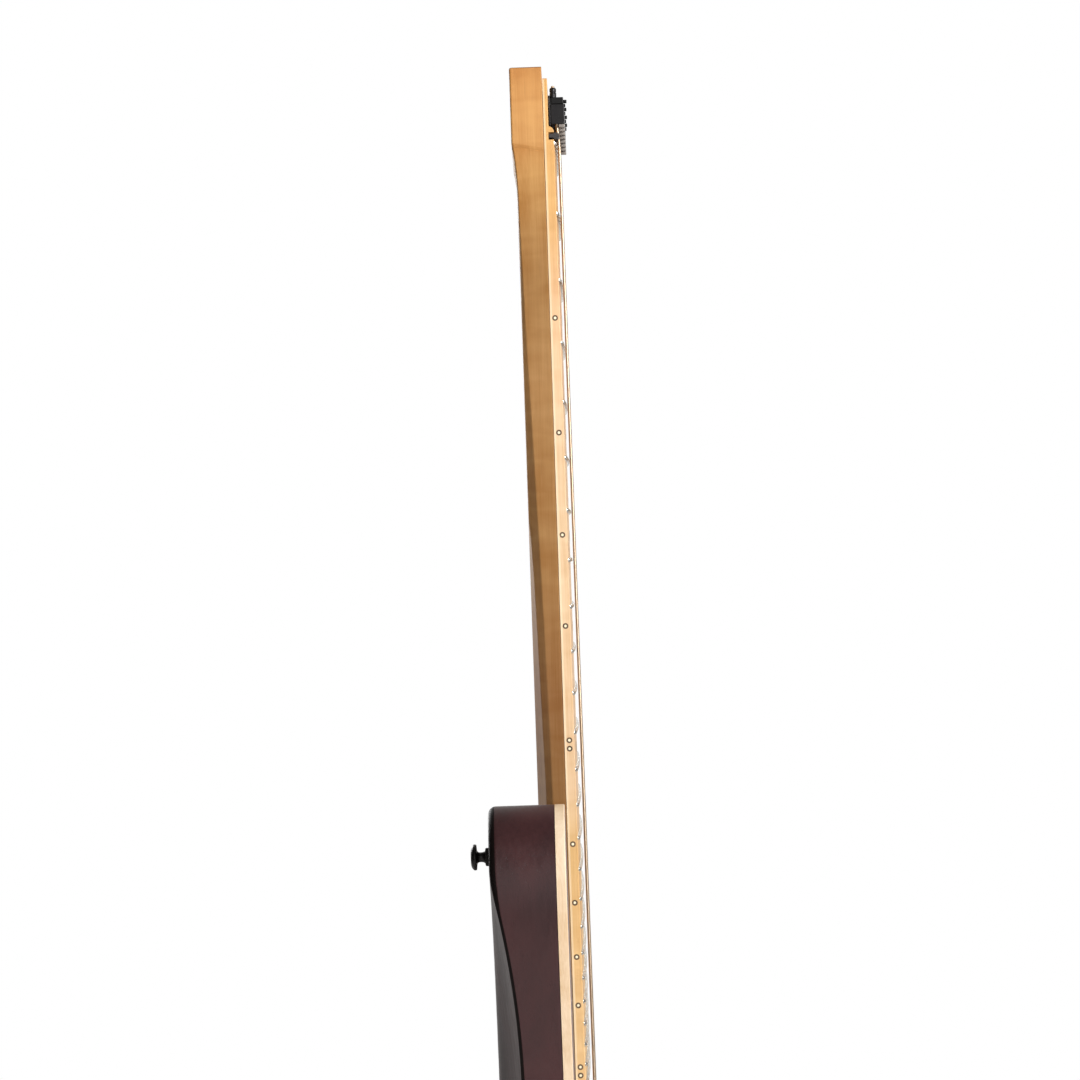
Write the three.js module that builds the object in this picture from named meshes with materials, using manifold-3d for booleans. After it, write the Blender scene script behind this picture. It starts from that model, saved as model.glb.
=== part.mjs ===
// A headless electric guitar with eight strings and fanned frets, standing upright, in millimetres.
// Frame: +X is the front (the strings' side), -Y the low strings' side, +Z towards the headstock.
// While it is drawn, x = 0 is the glue face of the neck and the top, and z = 0 is the neutral fret, the only
// one that is square to the strings. The last group moves the origin to the centre of the bounding box.
import * as THREE from 'three';
import { mergeVertices } from 'three/addons/utils/BufferGeometryUtils.js';
import Module from 'manifold-3d';

const wasm = await Module();
wasm.setup();

// ---------------------------------------------------------------- driving dimensions

const STRING_COUNT = 8;
const LAST_FRET = 24;
const NEUTRAL_FRET = 7;
const SCALE_LOW = 711.2; // 28 inches on the lowest string
const SCALE_HIGH = 673.1; // 26.5 inches on the highest string
const STRING_SPAN = { nut: 45.5, saddle: 71.75 };
const STRING_RADII = [1.02, 0.79, 0.585, 0.43, 0.305, 0.205, 0.14, 0.13]; // low to high

const GAP = 0.3; // glue lines, and play around a piece in its pocket
const TOUCH = 0.1; // a string over its fret or saddle

const BOARD = { halfNut: 27.3, halfSaddle: 38.9, edge: 5.9, radius: 508, overhang: 5.6, ledge: 3.0 };
const LEDGE = { end: 265.9, foot: 239.5, shoulder: 236.6 }; // heights of fret-parallel lines on the centreline
const NECK = { depth: 16.3, headDepth: 18.5, headEnd: 272.5, headFoot: 227.3, heel: -222, end: -294 };
const NUT_BAR = { low: 232.4, high: 236.0, bottom: 3.1, top: 8.7 };
const FRET = { width: 2.6, height: 1.5 };
// A string lock, measured from its string's crossing of the zero fret.
const LOCK = { half: 2.85, plate: 11.5, block: 12.1, blockEnd: 27.4, plateEnd: 28.5, barrelEnd: 33.1, top: 11.2 };

const BODY = { thickness: 43.3, cap: 5.6, backRound: 4.5, frontRound: 0.8 };
const BELLY = { y: -175, z: -318, reachY: 115, reachZ: 155, slope: 40, ease: 17 };

const SADDLE = { top: 10.4, width: 7.6, ahead: 5, behind: -4, frontDrop: 1, backDrop: 3 };
const BRIDGE = { front: 12, wallFront: -40, wallBack: -43, margin: 6, plate: [0.3, 2.4], ribTop: 9.6 };
const HOOD = { from: -10, to: -19, bottom: 9.6, top: 11.2 };
const CARRIAGE = { from: -32, to: -20, width: 7.4, bottom: 2.8, top: 9.4 };
const TUNER = { height: 6.1, rod: 1.5, hole: 1.9, knob: 4.7, knobFrom: -44.6, knobTo: -58 };

const PICKUP = { length: 94, width: 36, corner: 6, bottom: -18, top: 7.2, neckZ: -326, bridgeZ: -424 };
const CAVITY_CEILING = -10;
const COVER = { thickness: 2.4, ledge: 7 };
const VOLUME = { y: 88, z: -424 };
const TONE = { y: 106, z: -468 };
const SELECTOR = { y: 100, z: -384 };
const JACK = { x: -23, z: -460.7, flange: 10.5, barrel: 7.6, bore: 3.6 };
const STRAP_UPPER = { y: -100, z: -163.4 };
const STRAP_LOWER = { x: -23, y: -71.7 };
const NECK_BOLTS = [[-20, -254], [20, -260], [-20, -284], [20, -284]];

// Control points (y, z) of the body's outline, a closed cubic B-spline, from the tip of the upper horn
// down the low side, round the tail, up the high side, over the lower horn and across the neck.
const OUTLINE = [
  [-108, -132.8], [-132, -156.6], [-134, -203], [-120, -262], [-106, -325], [-118, -388], [-152, -440],
  [-166, -492], [-146, -536], [-98, -556], [-30, -552], [40, -541], [98, -532], [143, -506], [158, -462],
  [146, -410], [112, -352], [103, -300], [112, -248], [118, -205], [104, -176], [80, -190], [66, -228],
  [44, -252], [0, -240], [-44, -238], [-62, -214], [-76, -166], [-90, -135.8],
];
const CAVITY = [
  [60, -400], [58, -436], [62, -474], [88, -506], [126, -504], [142, -466], [134, -420], [114, -359], [82, -350],
];

// ---------------------------------------------------------------- the fan of the frets

const SCALE_MID = (SCALE_LOW + SCALE_HIGH) / 2;
const FAN = (SCALE_LOW - SCALE_HIGH) / SCALE_MID;
const fretHeight = (fret) => SCALE_MID * (2 ** (-fret / 12) - 2 ** (-NEUTRAL_FRET / 12));
const ZERO_Z = fretHeight(0);
const SADDLE_Z = ZERO_Z - SCALE_MID;
const taper = (z, nut, saddle) => nut + ((saddle - nut) * (ZERO_Z - z)) / SCALE_MID;
const boardHalf = (z) => taper(z, BOARD.halfNut, BOARD.halfSaddle);
const stringSpan = (z) => taper(z, STRING_SPAN.nut, STRING_SPAN.saddle);
const fanSlope = (z) => (-FAN * z) / stringSpan(z);
// Height at offset y of the fret-parallel line that crosses the centreline at z.
const fanned = (z, y) => z + fanSlope(z) * y;
const stringOffset = (index, z) => (stringSpan(z) * (index - (STRING_COUNT - 1) / 2)) / (STRING_COUNT - 1);
const crown = (half, y) => (half ** 2 - y ** 2) / (2 * BOARD.radius);
const boardTop = (y, z) => BOARD.edge + crown(boardHalf(z), y);
const saddleTop = (y) => SADDLE.top + crown(STRING_SPAN.saddle / 2, y);

// ---------------------------------------------------------------- finishes

const finish = (color, roughness, metalness) => new THREE.MeshStandardMaterial({ color, roughness, metalness });
const FINISH = {
  neckMaple: finish(0xc79358, 0.5, 0),
  boardMaple: finish(0xf3c988, 0.45, 0),
  stainedTop: finish(0x4d2128, 0.35, 0),
  stainedBack: finish(0x4d3232, 0.45, 0),
  blackMetal: finish(0x2b2a2a, 0.4, 0.8),
  greyMetal: finish(0x5d5959, 0.45, 0.8),
  steel: finish(0xc4beb6, 0.3, 1),
  blackPlastic: finish(0x1c1c1d, 0.5, 0),
  wire: finish(0xb4a08a, 0.35, 1),
};

// ---------------------------------------------------------------- solids

// A closed geometry as a manifold solid, turned right side out.
function solid(geometry) {
  const bare = geometry.clone();
  bare.deleteAttribute('normal');
  bare.deleteAttribute('uv');
  const { index, attributes } = mergeVertices(bare, 1e-4);
  const points = attributes.position.array;
  const kept = [];
  for (let i = 0; i < index.count; i += 3) {
    const [a, b, c] = [index.array[i], index.array[i + 1], index.array[i + 2]];
    if (a !== b && b !== c && c !== a) kept.push(a, b, c);
  }
  const at = (i) => new THREE.Vector3().fromArray(points, 3 * i);
  let volume = 0;
  for (let i = 0; i < kept.length; i += 3) volume += at(kept[i]).dot(at(kept[i + 1]).cross(at(kept[i + 2])));
  const triVerts = Uint32Array.from(volume < 0 ? kept.reverse() : kept);
  return new wasm.Manifold(new wasm.Mesh({ numProp: 3, vertProperties: points, triVerts }));
}

function piece(name, shape, material) {
  const { vertProperties, triVerts } = shape.getMesh();
  const geometry = new THREE.BufferGeometry();
  geometry.setAttribute('position', new THREE.BufferAttribute(vertProperties, 3));
  geometry.setIndex(new THREE.BufferAttribute(triVerts, 1));
  geometry.computeVertexNormals();
  const mesh = new THREE.Mesh(geometry, material);
  mesh.name = name;
  return mesh;
}

const joined = (solids) => solids.reduce((sum, next) => sum.add(next));
const cut = (stock, cutters) => cutters.reduce((rest, cutter) => rest.subtract(cutter), stock);

// A skin through rings of [x, y, z] points, closed by a fan at each end, so the end rings are convex.
function loft(rings) {
  const count = rings[0].length;
  const triangles = [];
  for (let r = 0; r + 1 < rings.length; r += 1) {
    for (let i = 0; i < count; i += 1) {
      const [a, b] = [r * count + i, r * count + ((i + 1) % count)];
      triangles.push(a, b, b + count, a, b + count, a + count);
    }
  }
  const last = (rings.length - 1) * count;
  for (let i = 1; i + 1 < count; i += 1) {
    triangles.push(0, i + 1, i, last, last + i, last + i + 1);
  }
  const geometry = new THREE.BufferGeometry();
  geometry.setAttribute('position', new THREE.Float32BufferAttribute(rings.flat(2), 3));
  geometry.setIndex(triangles);
  return solid(geometry);
}

// A box between two corners.
function block([x0, y0, z0], [x1, y1, z1]) {
  const box = new THREE.BoxGeometry(x1 - x0, y1 - y0, z1 - z0);
  return solid(box.translate((x0 + x1) / 2, (y0 + y1) / 2, (z0 + z1) / 2));
}

// A block whose two ends follow the fan: it runs from line `low` to line `high`, heights from `base`.
function fannedBlock({ base, low, high, y0, y1, x0, x1 }) {
  const end = (shift) => [[x0, y0], [x1, y0], [x1, y1], [x0, y1]].map(([x, y]) => [x, y, fanned(base, y) + shift]);
  return loft([end(low), end(high)]);
}

// A plate with outline points (y, z), from x = low to x = high, its edges rounded by `round`.
function plate(points, low, high, round = 0) {
  const shape = new THREE.Shape(points.map(([y, z]) => new THREE.Vector2(y, z)));
  const geometry = new THREE.ExtrudeGeometry(shape, {
    depth: high - low - 2 * round,
    bevelEnabled: round > 0,
    bevelThickness: round,
    bevelSize: round,
    bevelOffset: -round,
    bevelSegments: 2,
  });
  const [across, up, front] = [new THREE.Vector3(0, 1, 0), new THREE.Vector3(0, 0, 1), new THREE.Vector3(1, 0, 0)];
  geometry.applyMatrix4(new THREE.Matrix4().makeBasis(across, up, front));
  return solid(geometry.translate(low + round, 0, 0));
}

// A turned piece: profile of [radius, distance along the axis], the axis being +x, +y or +z.
function turned(profile, sides, axis) {
  const geometry = new THREE.LatheGeometry(profile.map(([r, along]) => new THREE.Vector2(r, along)), sides);
  if (axis === 'x') geometry.rotateZ(-Math.PI / 2);
  if (axis === 'z') geometry.rotateX(Math.PI / 2);
  return solid(geometry);
}

const rod = (radius, from, to, sides, axis) =>
  turned([[0, from], [radius, from], [radius, to], [0, to]], sides, axis);

function closedSpline(controls, steps) {
  const point = (i, t) => {
    const weights = [(1 - t) ** 3, 3 * t ** 3 - 6 * t ** 2 + 4, -3 * t ** 3 + 3 * t ** 2 + 3 * t + 1, t ** 3];
    const near = weights.map((w, k) => [w / 6, controls[(i + k) % controls.length]]);
    return [0, 1].map((axis) => near.reduce((sum, [w, p]) => sum + w * p[axis], 0));
  };
  return controls.flatMap((_, i) => Array.from({ length: steps }, (__, s) => point(i, s / steps)));
}

// Outline points moved outwards by `distance` (inwards when negative); the points run anticlockwise in (y, z).
function grown(points, distance) {
  return points.map(([y, z], i) => {
    const [y0, z0] = points.at(i - 1);
    const [y1, z1] = points[(i + 1) % points.length];
    const length = Math.hypot(y1 - y0, z1 - z0);
    return [y + (distance * (z1 - z0)) / length, z - (distance * (y1 - y0)) / length];
  });
}

// ---------------------------------------------------------------- neck and fingerboard

const STATION = {
  facetTop: 204, facetBottom: -133, sideDepth: 8.3, sideBulge: 5, rearStart: 22, rearDepth: 4.8, rearPower: 0.6,
};

// Depths, above the back of the neck, where the side facet and the narrow facet behind it end at height z.
function facetDepths(z) {
  const t = THREE.MathUtils.clamp((STATION.facetTop - z) / (STATION.facetTop - STATION.facetBottom), 0, 1);
  const side = STATION.sideDepth * t + STATION.sideBulge * t * t * (1 - t) + 0.4;
  const s = THREE.MathUtils.clamp((STATION.rearStart - z) / (STATION.rearStart - STATION.facetBottom), 0, 1);
  return { side, rear: STATION.rearDepth * s ** STATION.rearPower + 0.2 };
}

// Half of a neck section, from the glue line to the middle of the back, as [y, x] on the high side.
function facetedHalf(z, depth) {
  const half = boardHalf(z);
  const { side, rear } = facetDepths(z);
  const t = THREE.MathUtils.clamp((STATION.facetTop - z) / (STATION.facetTop - STATION.facetBottom), 0, 1);
  return [
    [half, 0],
    [THREE.MathUtils.lerp(half - 10, half - 4.2, t), side - depth],
    [THREE.MathUtils.lerp(half - 12, half - 9, t), rear - depth],
    [THREE.MathUtils.lerp(half - 14, 5, t), -depth],
  ];
}

function squareHalf(half, depth) {
  const soften = 1;
  return [[half, 0], [half, soften - depth], [half - soften / 3, soften / 3 - depth], [half - soften, -depth]];
}

// A half section on its way from the facets to the square block: `share` 0 is all facets, 1 is all block.
function partSquareHalf(z, depth, share) {
  const square = squareHalf(boardHalf(z), depth);
  return facetedHalf(z, depth).map((point, i) =>
    point.map((value, axis) => THREE.MathUtils.lerp(value, square[i][axis], share)));
}

// A ring of the neck's skin; a fanned ring is parallel to the frets, and `lean` drops its front edge.
function neckRing(z, halfSection, isFanned, lean = 0) {
  const height = (y, x) => (isFanned ? fanned(z, y) : z) + (lean * x) / NECK.headDepth;
  const high = halfSection.map(([y, x]) => [x, y, height(y, x)]);
  const low = halfSection.map(([y, x]) => [x, -y, height(-y, x)]);
  return [...low, ...high.reverse()];
}

function makeNeck() {
  const headHalf = boardHalf(LEDGE.end) + 0.4;
  const foot = NECK.headFoot;
  const lean = -3.5;
  const rings = [
    neckRing(NECK.headEnd, squareHalf(headHalf - 0.8, NECK.headDepth - 0.8), true),
    neckRing(NECK.headEnd - 0.8, squareHalf(headHalf, NECK.headDepth), true),
    neckRing(foot, squareHalf(headHalf + 0.6, NECK.headDepth), true, lean),
    neckRing(foot - 0.6, partSquareHalf(foot, NECK.headDepth - 0.4, 0.9), true, lean),
    neckRing(foot - 9, partSquareHalf(foot - 9, NECK.depth + 0.8, 0.75), true, lean / 2),
    neckRing(foot - 22, partSquareHalf(foot - 22, NECK.depth, 0.5), false),
    neckRing(185, partSquareHalf(185, NECK.depth, 0.25), false),
    neckRing(168, partSquareHalf(168, NECK.depth, 0.08), false),
    ...[150, 110, 50, 22, 0, -30, -70, -105, -133, -175].map((z) =>
      neckRing(z, facetedHalf(z, NECK.depth), false)),
    neckRing(NECK.heel, squareHalf(boardHalf(NECK.heel), NECK.depth), false),
    neckRing(NECK.end, squareHalf(boardHalf(NECK.end), NECK.depth), false),
  ];
  const channel = block([-9.4, -3.2, NECK.end - 1], [1, 3.2, 205]);
  return cut(loft(rings), [channel, ...boltHoles(2.6, -NECK.depth - 1, -2.5)]);
}

function boltHoles(radius, from, to) {
  return NECK_BOLTS.map(([y, z]) => rod(radius, from, to, 10, 'x').translate(0, y, z));
}

function makeFingerboard() {
  const steps = [1, 0.6, 0.2, -0.2, -0.6, -1];
  const ring = (z, edge, roundness) => {
    const half = boardHalf(z);
    const top = steps.map((s) => [edge + roundness * crown(half, s * half), s * half, fanned(z, s * half)]);
    return [[GAP, -half, fanned(z, -half)], [GAP, half, fanned(z, half)], ...top];
  };
  const rise = BOARD.edge - BOARD.ledge;
  const shoulder = [0, 0.35, 0.7, 1].map((t) => {
    const angle = (t * Math.PI) / 2;
    const drop = (LEDGE.foot - LEDGE.shoulder) * (1 - Math.cos(angle));
    return ring(LEDGE.foot - drop, BOARD.ledge + rise * Math.sin(angle), t);
  });
  const end = fretHeight(LAST_FRET) - BOARD.overhang;
  const stock = loft([ring(LEDGE.end, BOARD.ledge, 0), ...shoulder, ring(end, BOARD.edge, 1)]);
  const half = boardHalf(NUT_BAR.low) + 1;
  const slot = loft([NUT_BAR.low - GAP, NUT_BAR.high + GAP].map((z) =>
    [[NUT_BAR.bottom - GAP, -half], [12, -half], [12, half], [NUT_BAR.bottom - GAP, half]]
      .map(([x, y]) => [x, y, fanned(z, y)])));
  return cut(stock, [slot]);
}

// The bar behind the zero fret, with a notch that sets each string's place.
function makeNutBar() {
  const half = boardHalf(NUT_BAR.low) - GAP;
  const corner = [[NUT_BAR.bottom, -half], [NUT_BAR.top, -half], [NUT_BAR.top, half], [NUT_BAR.bottom, half]];
  const bar = loft([NUT_BAR.low, NUT_BAR.high].map((z) => corner.map(([x, y]) => [x, y, fanned(z, y)])));
  const notches = STRING_RADII.map((radius, index) => {
    const path = stringPath(index);
    const y = stringOffset(index, NUT_BAR.low);
    const middle = THREE.MathUtils.lerp(path[0][0], path[1][0], 0.6);
    const z = fanned(NUT_BAR.low, y);
    const side = radius + GAP;
    return block([Math.min(path[0][0], middle) - side, y - side, z - 3], [12, y + side, z + 7]);
  });
  return cut(bar, notches);
}

function makeZeroFret() {
  const half = boardHalf(ZERO_Z) - GAP;
  const rings = [-1, -0.6, -0.2, 0.2, 0.6, 1].map((s) => {
    const y = s * half;
    const base = boardTop(y, ZERO_Z) + TOUCH;
    const centre = fanned(ZERO_Z, y);
    const [foot, flank] = [FRET.width / 2, FRET.width / 4];
    const top = base + FRET.height - TOUCH;
    return [[base, y, centre - foot], [base, y, centre + foot], [top - 0.3, y, centre + flank],
      [top, y, centre], [top - 0.3, y, centre - flank]];
  });
  return loft(rings);
}

function makeTrussRod() {
  return block([-9.1, -2.9, NECK.end - 2.5], [-GAP, 2.9, 204.7]);
}

// ---------------------------------------------------------------- strings

// Centre-line points of a string: lock mouth, zero fret, saddle, end under the bridge's hood.
function stringPath(index) {
  const radius = STRING_RADII[index];
  const at = (z) => {
    const y = stringOffset(index, z);
    return [y, fanned(z, y)];
  };
  const [yZero, zZero] = at(ZERO_Z);
  const [ySaddle, zSaddle] = at(SADDLE_Z);
  const yEnd = stringOffset(index, SADDLE_Z + HOOD.from);
  return [
    [7.6, yZero, zZero + LOCK.plate - TOUCH],
    [boardTop(yZero, ZERO_Z) + FRET.height + TOUCH + radius, yZero, zZero],
    [saddleTop(ySaddle) + TOUCH + radius, ySaddle, zSaddle],
    [saddleTop(ySaddle) - 5 + radius, yEnd, zSaddle + HOOD.from - 3],
  ];
}

function makeString(index) {
  const radius = STRING_RADII[index];
  const sides = 6;
  const rings = stringPath(index).map(([x, y, z]) => Array.from({ length: sides }, (_, i) => {
    const angle = ((i + 0.5) * 2 * Math.PI) / sides;
    return [x + radius * Math.sin(angle), y + radius * Math.cos(angle), z];
  }));
  return loft(rings);
}

// One of the eight clamps on the head: base plate, clamp block, rear barrel and clamp screw. Its own origin is
// on the ledge, level with the string's crossing of the zero fret.
function makeStringLock() {
  const { half, plate: plateStart, block: blockStart, blockEnd, plateEnd, barrelEnd, top } = LOCK;
  const ledge = BOARD.ledge + GAP;
  return joined([
    block([ledge, -half, plateStart], [ledge + 1.1, half, plateEnd]),
    block([ledge + 1, -half + 0.1, blockStart], [top, half - 0.1, blockEnd]),
    rod(1.75, blockEnd - 0.1, barrelEnd, 8, 'z').translate(6.1, 0, 0),
    rod(1.4, top - 0.1, top + 2, 8, 'x').translate(0, 0, (blockStart + blockEnd) / 2 + 2.5),
  ]);
}

// ---------------------------------------------------------------- body

const outlinePoints = closedSpline(OUTLINE, 3);
const cavityPoints = closedSpline(CAVITY, 3);
const tailZ = Math.min(...outlinePoints.map(([, z]) => z));
const sideY = Math.max(...outlinePoints.map(([y]) => y));

// A rectangle turned to lie along the fan at height z, with rounded corners, `extra` larger all round.
function pickupOutline(z, extra) {
  const [halfLength, halfWidth] = [PICKUP.length / 2 + extra, PICKUP.width / 2 + extra];
  const corner = PICKUP.corner;
  const shape = new THREE.Shape();
  const arcs = [[1, 1], [-1, 1], [-1, -1], [1, -1]];
  arcs.forEach(([sy, sz], i) => {
    const start = (i * Math.PI) / 2;
    shape.absarc(sy * (halfLength - corner), sz * (halfWidth - corner), corner, start, start + Math.PI / 2);
  });
  const angle = Math.atan(fanSlope(z));
  const centre = new THREE.Vector2(0, 0);
  return shape.getPoints(3).map((p) => p.clone().rotateAround(centre, angle)).map((p) => [p.x, p.y + z]);
}

// The neck's pocket and the space round the truss rod's wheel.
function pocketCutters() {
  const side = (z) => boardHalf(z) + GAP;
  const [mouth, floor] = [NECK.heel + 20, NECK.end - GAP];
  const mortise = [[-side(mouth), mouth], [-side(floor), floor], [side(floor), floor], [side(mouth), mouth]];
  return [plate(mortise, -NECK.depth - GAP, 1), block([-10, -8, floor - 10.5], [1, 8, floor + 1])];
}

// The scoop under the tuner knobs, a ramp that runs out through the tail.
function scoopCutter() {
  const half = STRING_SPAN.saddle / 2 + 15;
  const start = TUNER.knobFrom - 1;
  return loft([-half, half].map((y) =>
    [[1, start], [-3, start], [-25, start - 76], [1, start - 76]]
      .map(([x, shift]) => [x, y, fanned(SADDLE_Z, y) + shift])));
}

const jackHole = () => rod(JACK.barrel + GAP, sideY - 40, sideY + 5, 12, 'y').translate(JACK.x, 0, JACK.z);

function controlHoles() {
  return [
    ...[VOLUME, TONE].map(({ y, z }) => rod(4.3, CAVITY_CEILING - 1, 1, 10, 'x').translate(0, y, z)),
    rod(6.1, CAVITY_CEILING - 1, 1, 10, 'x').translate(0, SELECTOR.y, SELECTOR.z),
  ];
}

function makeTop() {
  const low = -BODY.cap;
  const stock = plate(outlinePoints, low - BODY.frontRound, 0, BODY.frontRound)
    .subtract(block([low - 5, -400, -700], [low, 400, 0]));
  return cut(stock, [
    ...pocketCutters(),
    scoopCutter(),
    plate(pickupOutline(PICKUP.neckZ, 0.5), low - 1, 1),
    plate(pickupOutline(PICKUP.bridgeZ, 0.5), low - 1, 1),
    ...controlHoles(),
  ]);
}

// The hollow for the player's ribs: an elliptical dish whose depth grows inwards from its rim.
function bellyCutter() {
  const sides = 28;
  const ring = (inside, x) => Array.from({ length: sides }, (_, i) => {
    const angle = (i * 2 * Math.PI) / sides;
    const scale = 1 - inside;
    return [x, BELLY.y + BELLY.reachY * scale * Math.cos(angle), BELLY.z + BELLY.reachZ * scale * Math.sin(angle)];
  });
  const dish = [0, 0.12, 0.26, 0.42, 0.6, 0.8].map((inside) =>
    ring(inside, -BODY.thickness + BELLY.slope * inside - BELLY.ease * inside ** 2));
  return loft([ring(0, -BODY.thickness - 15), ...dish]);
}

function makeBack() {
  const front = -BODY.cap - GAP;
  const stock = plate(outlinePoints, -BODY.thickness, front + BODY.backRound, BODY.backRound)
    .subtract(block([front, -400, -700], [front + 20, 400, 0]));
  const recess = grown(cavityPoints, 0);
  return cut(stock, [
    bellyCutter(),
    ...pocketCutters(),
    scoopCutter(),
    plate(pickupOutline(PICKUP.neckZ, 0.5), PICKUP.bottom - GAP, 1),
    plate(pickupOutline(PICKUP.bridgeZ, 0.5), PICKUP.bottom - GAP, 1),
    plate(recess, -BODY.thickness - 1, -BODY.thickness + COVER.thickness + GAP),
    plate(grown(cavityPoints, -COVER.ledge), -BODY.thickness - 1, CAVITY_CEILING),
    ...controlHoles(),
    jackHole(),
    ...boltHoles(2.6, -BODY.thickness - 1, 0),
    ...boltHoles(4.9, -BODY.thickness - 1, -BODY.thickness + 3.3),
  ]);
}

const makeCover = () =>
  plate(grown(cavityPoints, -GAP), -BODY.thickness + 0.1, -BODY.thickness + COVER.thickness);

const makeNeckBolt = () => turned(
  [[0, -BODY.thickness + 0.2], [4.5, -BODY.thickness + 0.2], [4.5, -BODY.thickness + 3], [2.2, -BODY.thickness + 3],
    [2.2, -3], [0, -3]],
  10,
  'x',
);

// A strap button on its screw, standing out along the axis from the wood at 0.
const makeStrapButton = (axis) => turned(
  [[0, GAP], [4.95, GAP], [4.95, 1.6], [2.8, 2.6], [2.8, 6.2], [7.2, 6.6], [7.2, 8.6], [5.2, 10], [0, 10]],
  14,
  axis,
);

// ---------------------------------------------------------------- bridge and tuners

const saddlePlace = (index) => {
  const y = stringOffset(index, SADDLE_Z);
  return { y, z: fanned(SADDLE_Z, y) };
};
const UNIT_PITCH = STRING_SPAN.saddle / (STRING_COUNT - 1);

function makeBridge() {
  const half = STRING_SPAN.saddle / 2 + BRIDGE.margin;
  const [low, high] = BRIDGE.plate;
  const wide = { base: SADDLE_Z, y0: -half, y1: half };
  const base = fannedBlock({ ...wide, low: BRIDGE.wallBack, high: BRIDGE.front, x0: low, x1: high });
  const wall = fannedBlock({ ...wide, low: BRIDGE.wallBack, high: BRIDGE.wallFront, x0: low, x1: BRIDGE.ribTop });
  const hood = fannedBlock({ ...wide, low: HOOD.to, high: HOOD.from, x0: HOOD.bottom - 0.1, x1: HOOD.top });
  const ribs = Array.from({ length: STRING_COUNT + 1 }, (_, i) => {
    const y = UNIT_PITCH * (i - STRING_COUNT / 2);
    const size = { base: SADDLE_Z, y0: y - 1, y1: y + 1, x0: low, x1: BRIDGE.ribTop };
    return fannedBlock({ ...size, low: BRIDGE.wallBack, high: HOOD.from });
  });
  const units = STRING_RADII.map((_, index) => saddlePlace(index));
  const saddles = units.map(({ y, z }) => {
    const top = saddleTop(y);
    const { ahead, behind, frontDrop, backDrop, width } = SADDLE;
    const profile = [[low, ahead], [top - frontDrop, ahead], [top, 0], [top - backDrop, behind], [low, behind]];
    return loft([-width / 2, width / 2].map((side) => profile.map(([x, along]) => [x, y + side, z + along])));
  });
  const holes = units.map(({ y, z }) =>
    rod(TUNER.hole, BRIDGE.wallBack - 6, BRIDGE.wallFront + 6, 10, 'z').translate(TUNER.height, y, z));
  return cut(joined([base, wall, hood, ...ribs, ...saddles]), holes);
}

// The sliding block that holds a string's ball end; its own origin is under the saddle's crown.
function makeCarriage() {
  const half = CARRIAGE.width / 2;
  const stock = block([CARRIAGE.bottom, -half, CARRIAGE.from], [CARRIAGE.top, half, CARRIAGE.to]);
  return stock.subtract(rod(TUNER.hole, CARRIAGE.from - 1, CARRIAGE.to + 1, 8, 'z').translate(TUNER.height, 0, 0));
}

// The thumb wheel with its threaded rod, on the rod's own axis.
function makeTunerKnob() {
  const { knob, knobFrom, knobTo, rod: thread } = TUNER;
  const tip = CARRIAGE.from + 7;
  return turned([[0, knobTo], [knob - 0.8, knobTo], [knob, knobTo + 0.8], [knob, knobFrom - 2], [3.2, knobFrom],
    [thread, knobFrom], [thread, tip], [0, tip]], 16, 'z');
}

// ---------------------------------------------------------------- pickups and controls

const makePickup = (z) => plate(pickupOutline(z, 0), PICKUP.bottom, PICKUP.top, 0);

const makePot = () => turned(
  [[0, CAVITY_CEILING - 10], [11, CAVITY_CEILING - 10], [11, CAVITY_CEILING - GAP], [4, CAVITY_CEILING - GAP],
    [4, 2.2], [3, 2.2], [3, 11], [0, 11]],
  14,
  'x',
);

const makeKnob = () => turned(
  [[0, 11.4], [3.3, 11.4], [3.3, 3], [5.5, 3], [5.5, 0.7], [9.4, 0.7], [9.4, 14], [8.6, 15.4], [0, 15.4]],
  18,
  'x',
);

function makeSwitchHousing() {
  const housing = block([CAVITY_CEILING - 18, -7, -9], [CAVITY_CEILING - GAP, 7, 9]);
  const bush = rod(5.8, CAVITY_CEILING - 1, 3.2, 12, 'x');
  return joined([housing, bush]).subtract(rod(3.2, -8, 5, 12, 'x'));
}

const makeSwitchLever = () =>
  turned([[0, -4], [1.3, -4], [1.3, 7], [2.4, 14], [2.9, 16.4], [2, 18], [0, 18.4]], 12, 'x');

// The output socket, a threaded barrel with a flange, bored right through, along +y from the rim of the body.
const makeJack = () => turned(
  [[JACK.bore, -20], [JACK.barrel, -20], [JACK.barrel, GAP], [JACK.flange, GAP], [JACK.flange - 0.8, 2.3],
    [JACK.bore, 2.3], [JACK.bore, -20]],
  16,
  'y',
);

// ---------------------------------------------------------------- assembly

const guitar = new THREE.Group();

function place(mesh, x = 0, y = 0, z = 0) {
  mesh.position.set(x, y, z);
  guitar.add(mesh);
}

place(piece('body_back', makeBack(), FINISH.stainedBack));
place(piece('body_top', makeTop(), FINISH.stainedTop));
place(piece('neck', makeNeck(), FINISH.neckMaple));
place(piece('fingerboard', makeFingerboard(), FINISH.boardMaple));
place(piece('truss_rod', makeTrussRod(), FINISH.steel));
place(piece('truss_rod_wheel', rod(5.8, -3, 3, 14, 'z'), FINISH.steel), -2.3, 0, NECK.end - 6);
place(piece('nut_bar', makeNutBar(), FINISH.greyMetal));
place(piece('zero_fret', makeZeroFret(), FINISH.steel));

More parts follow.
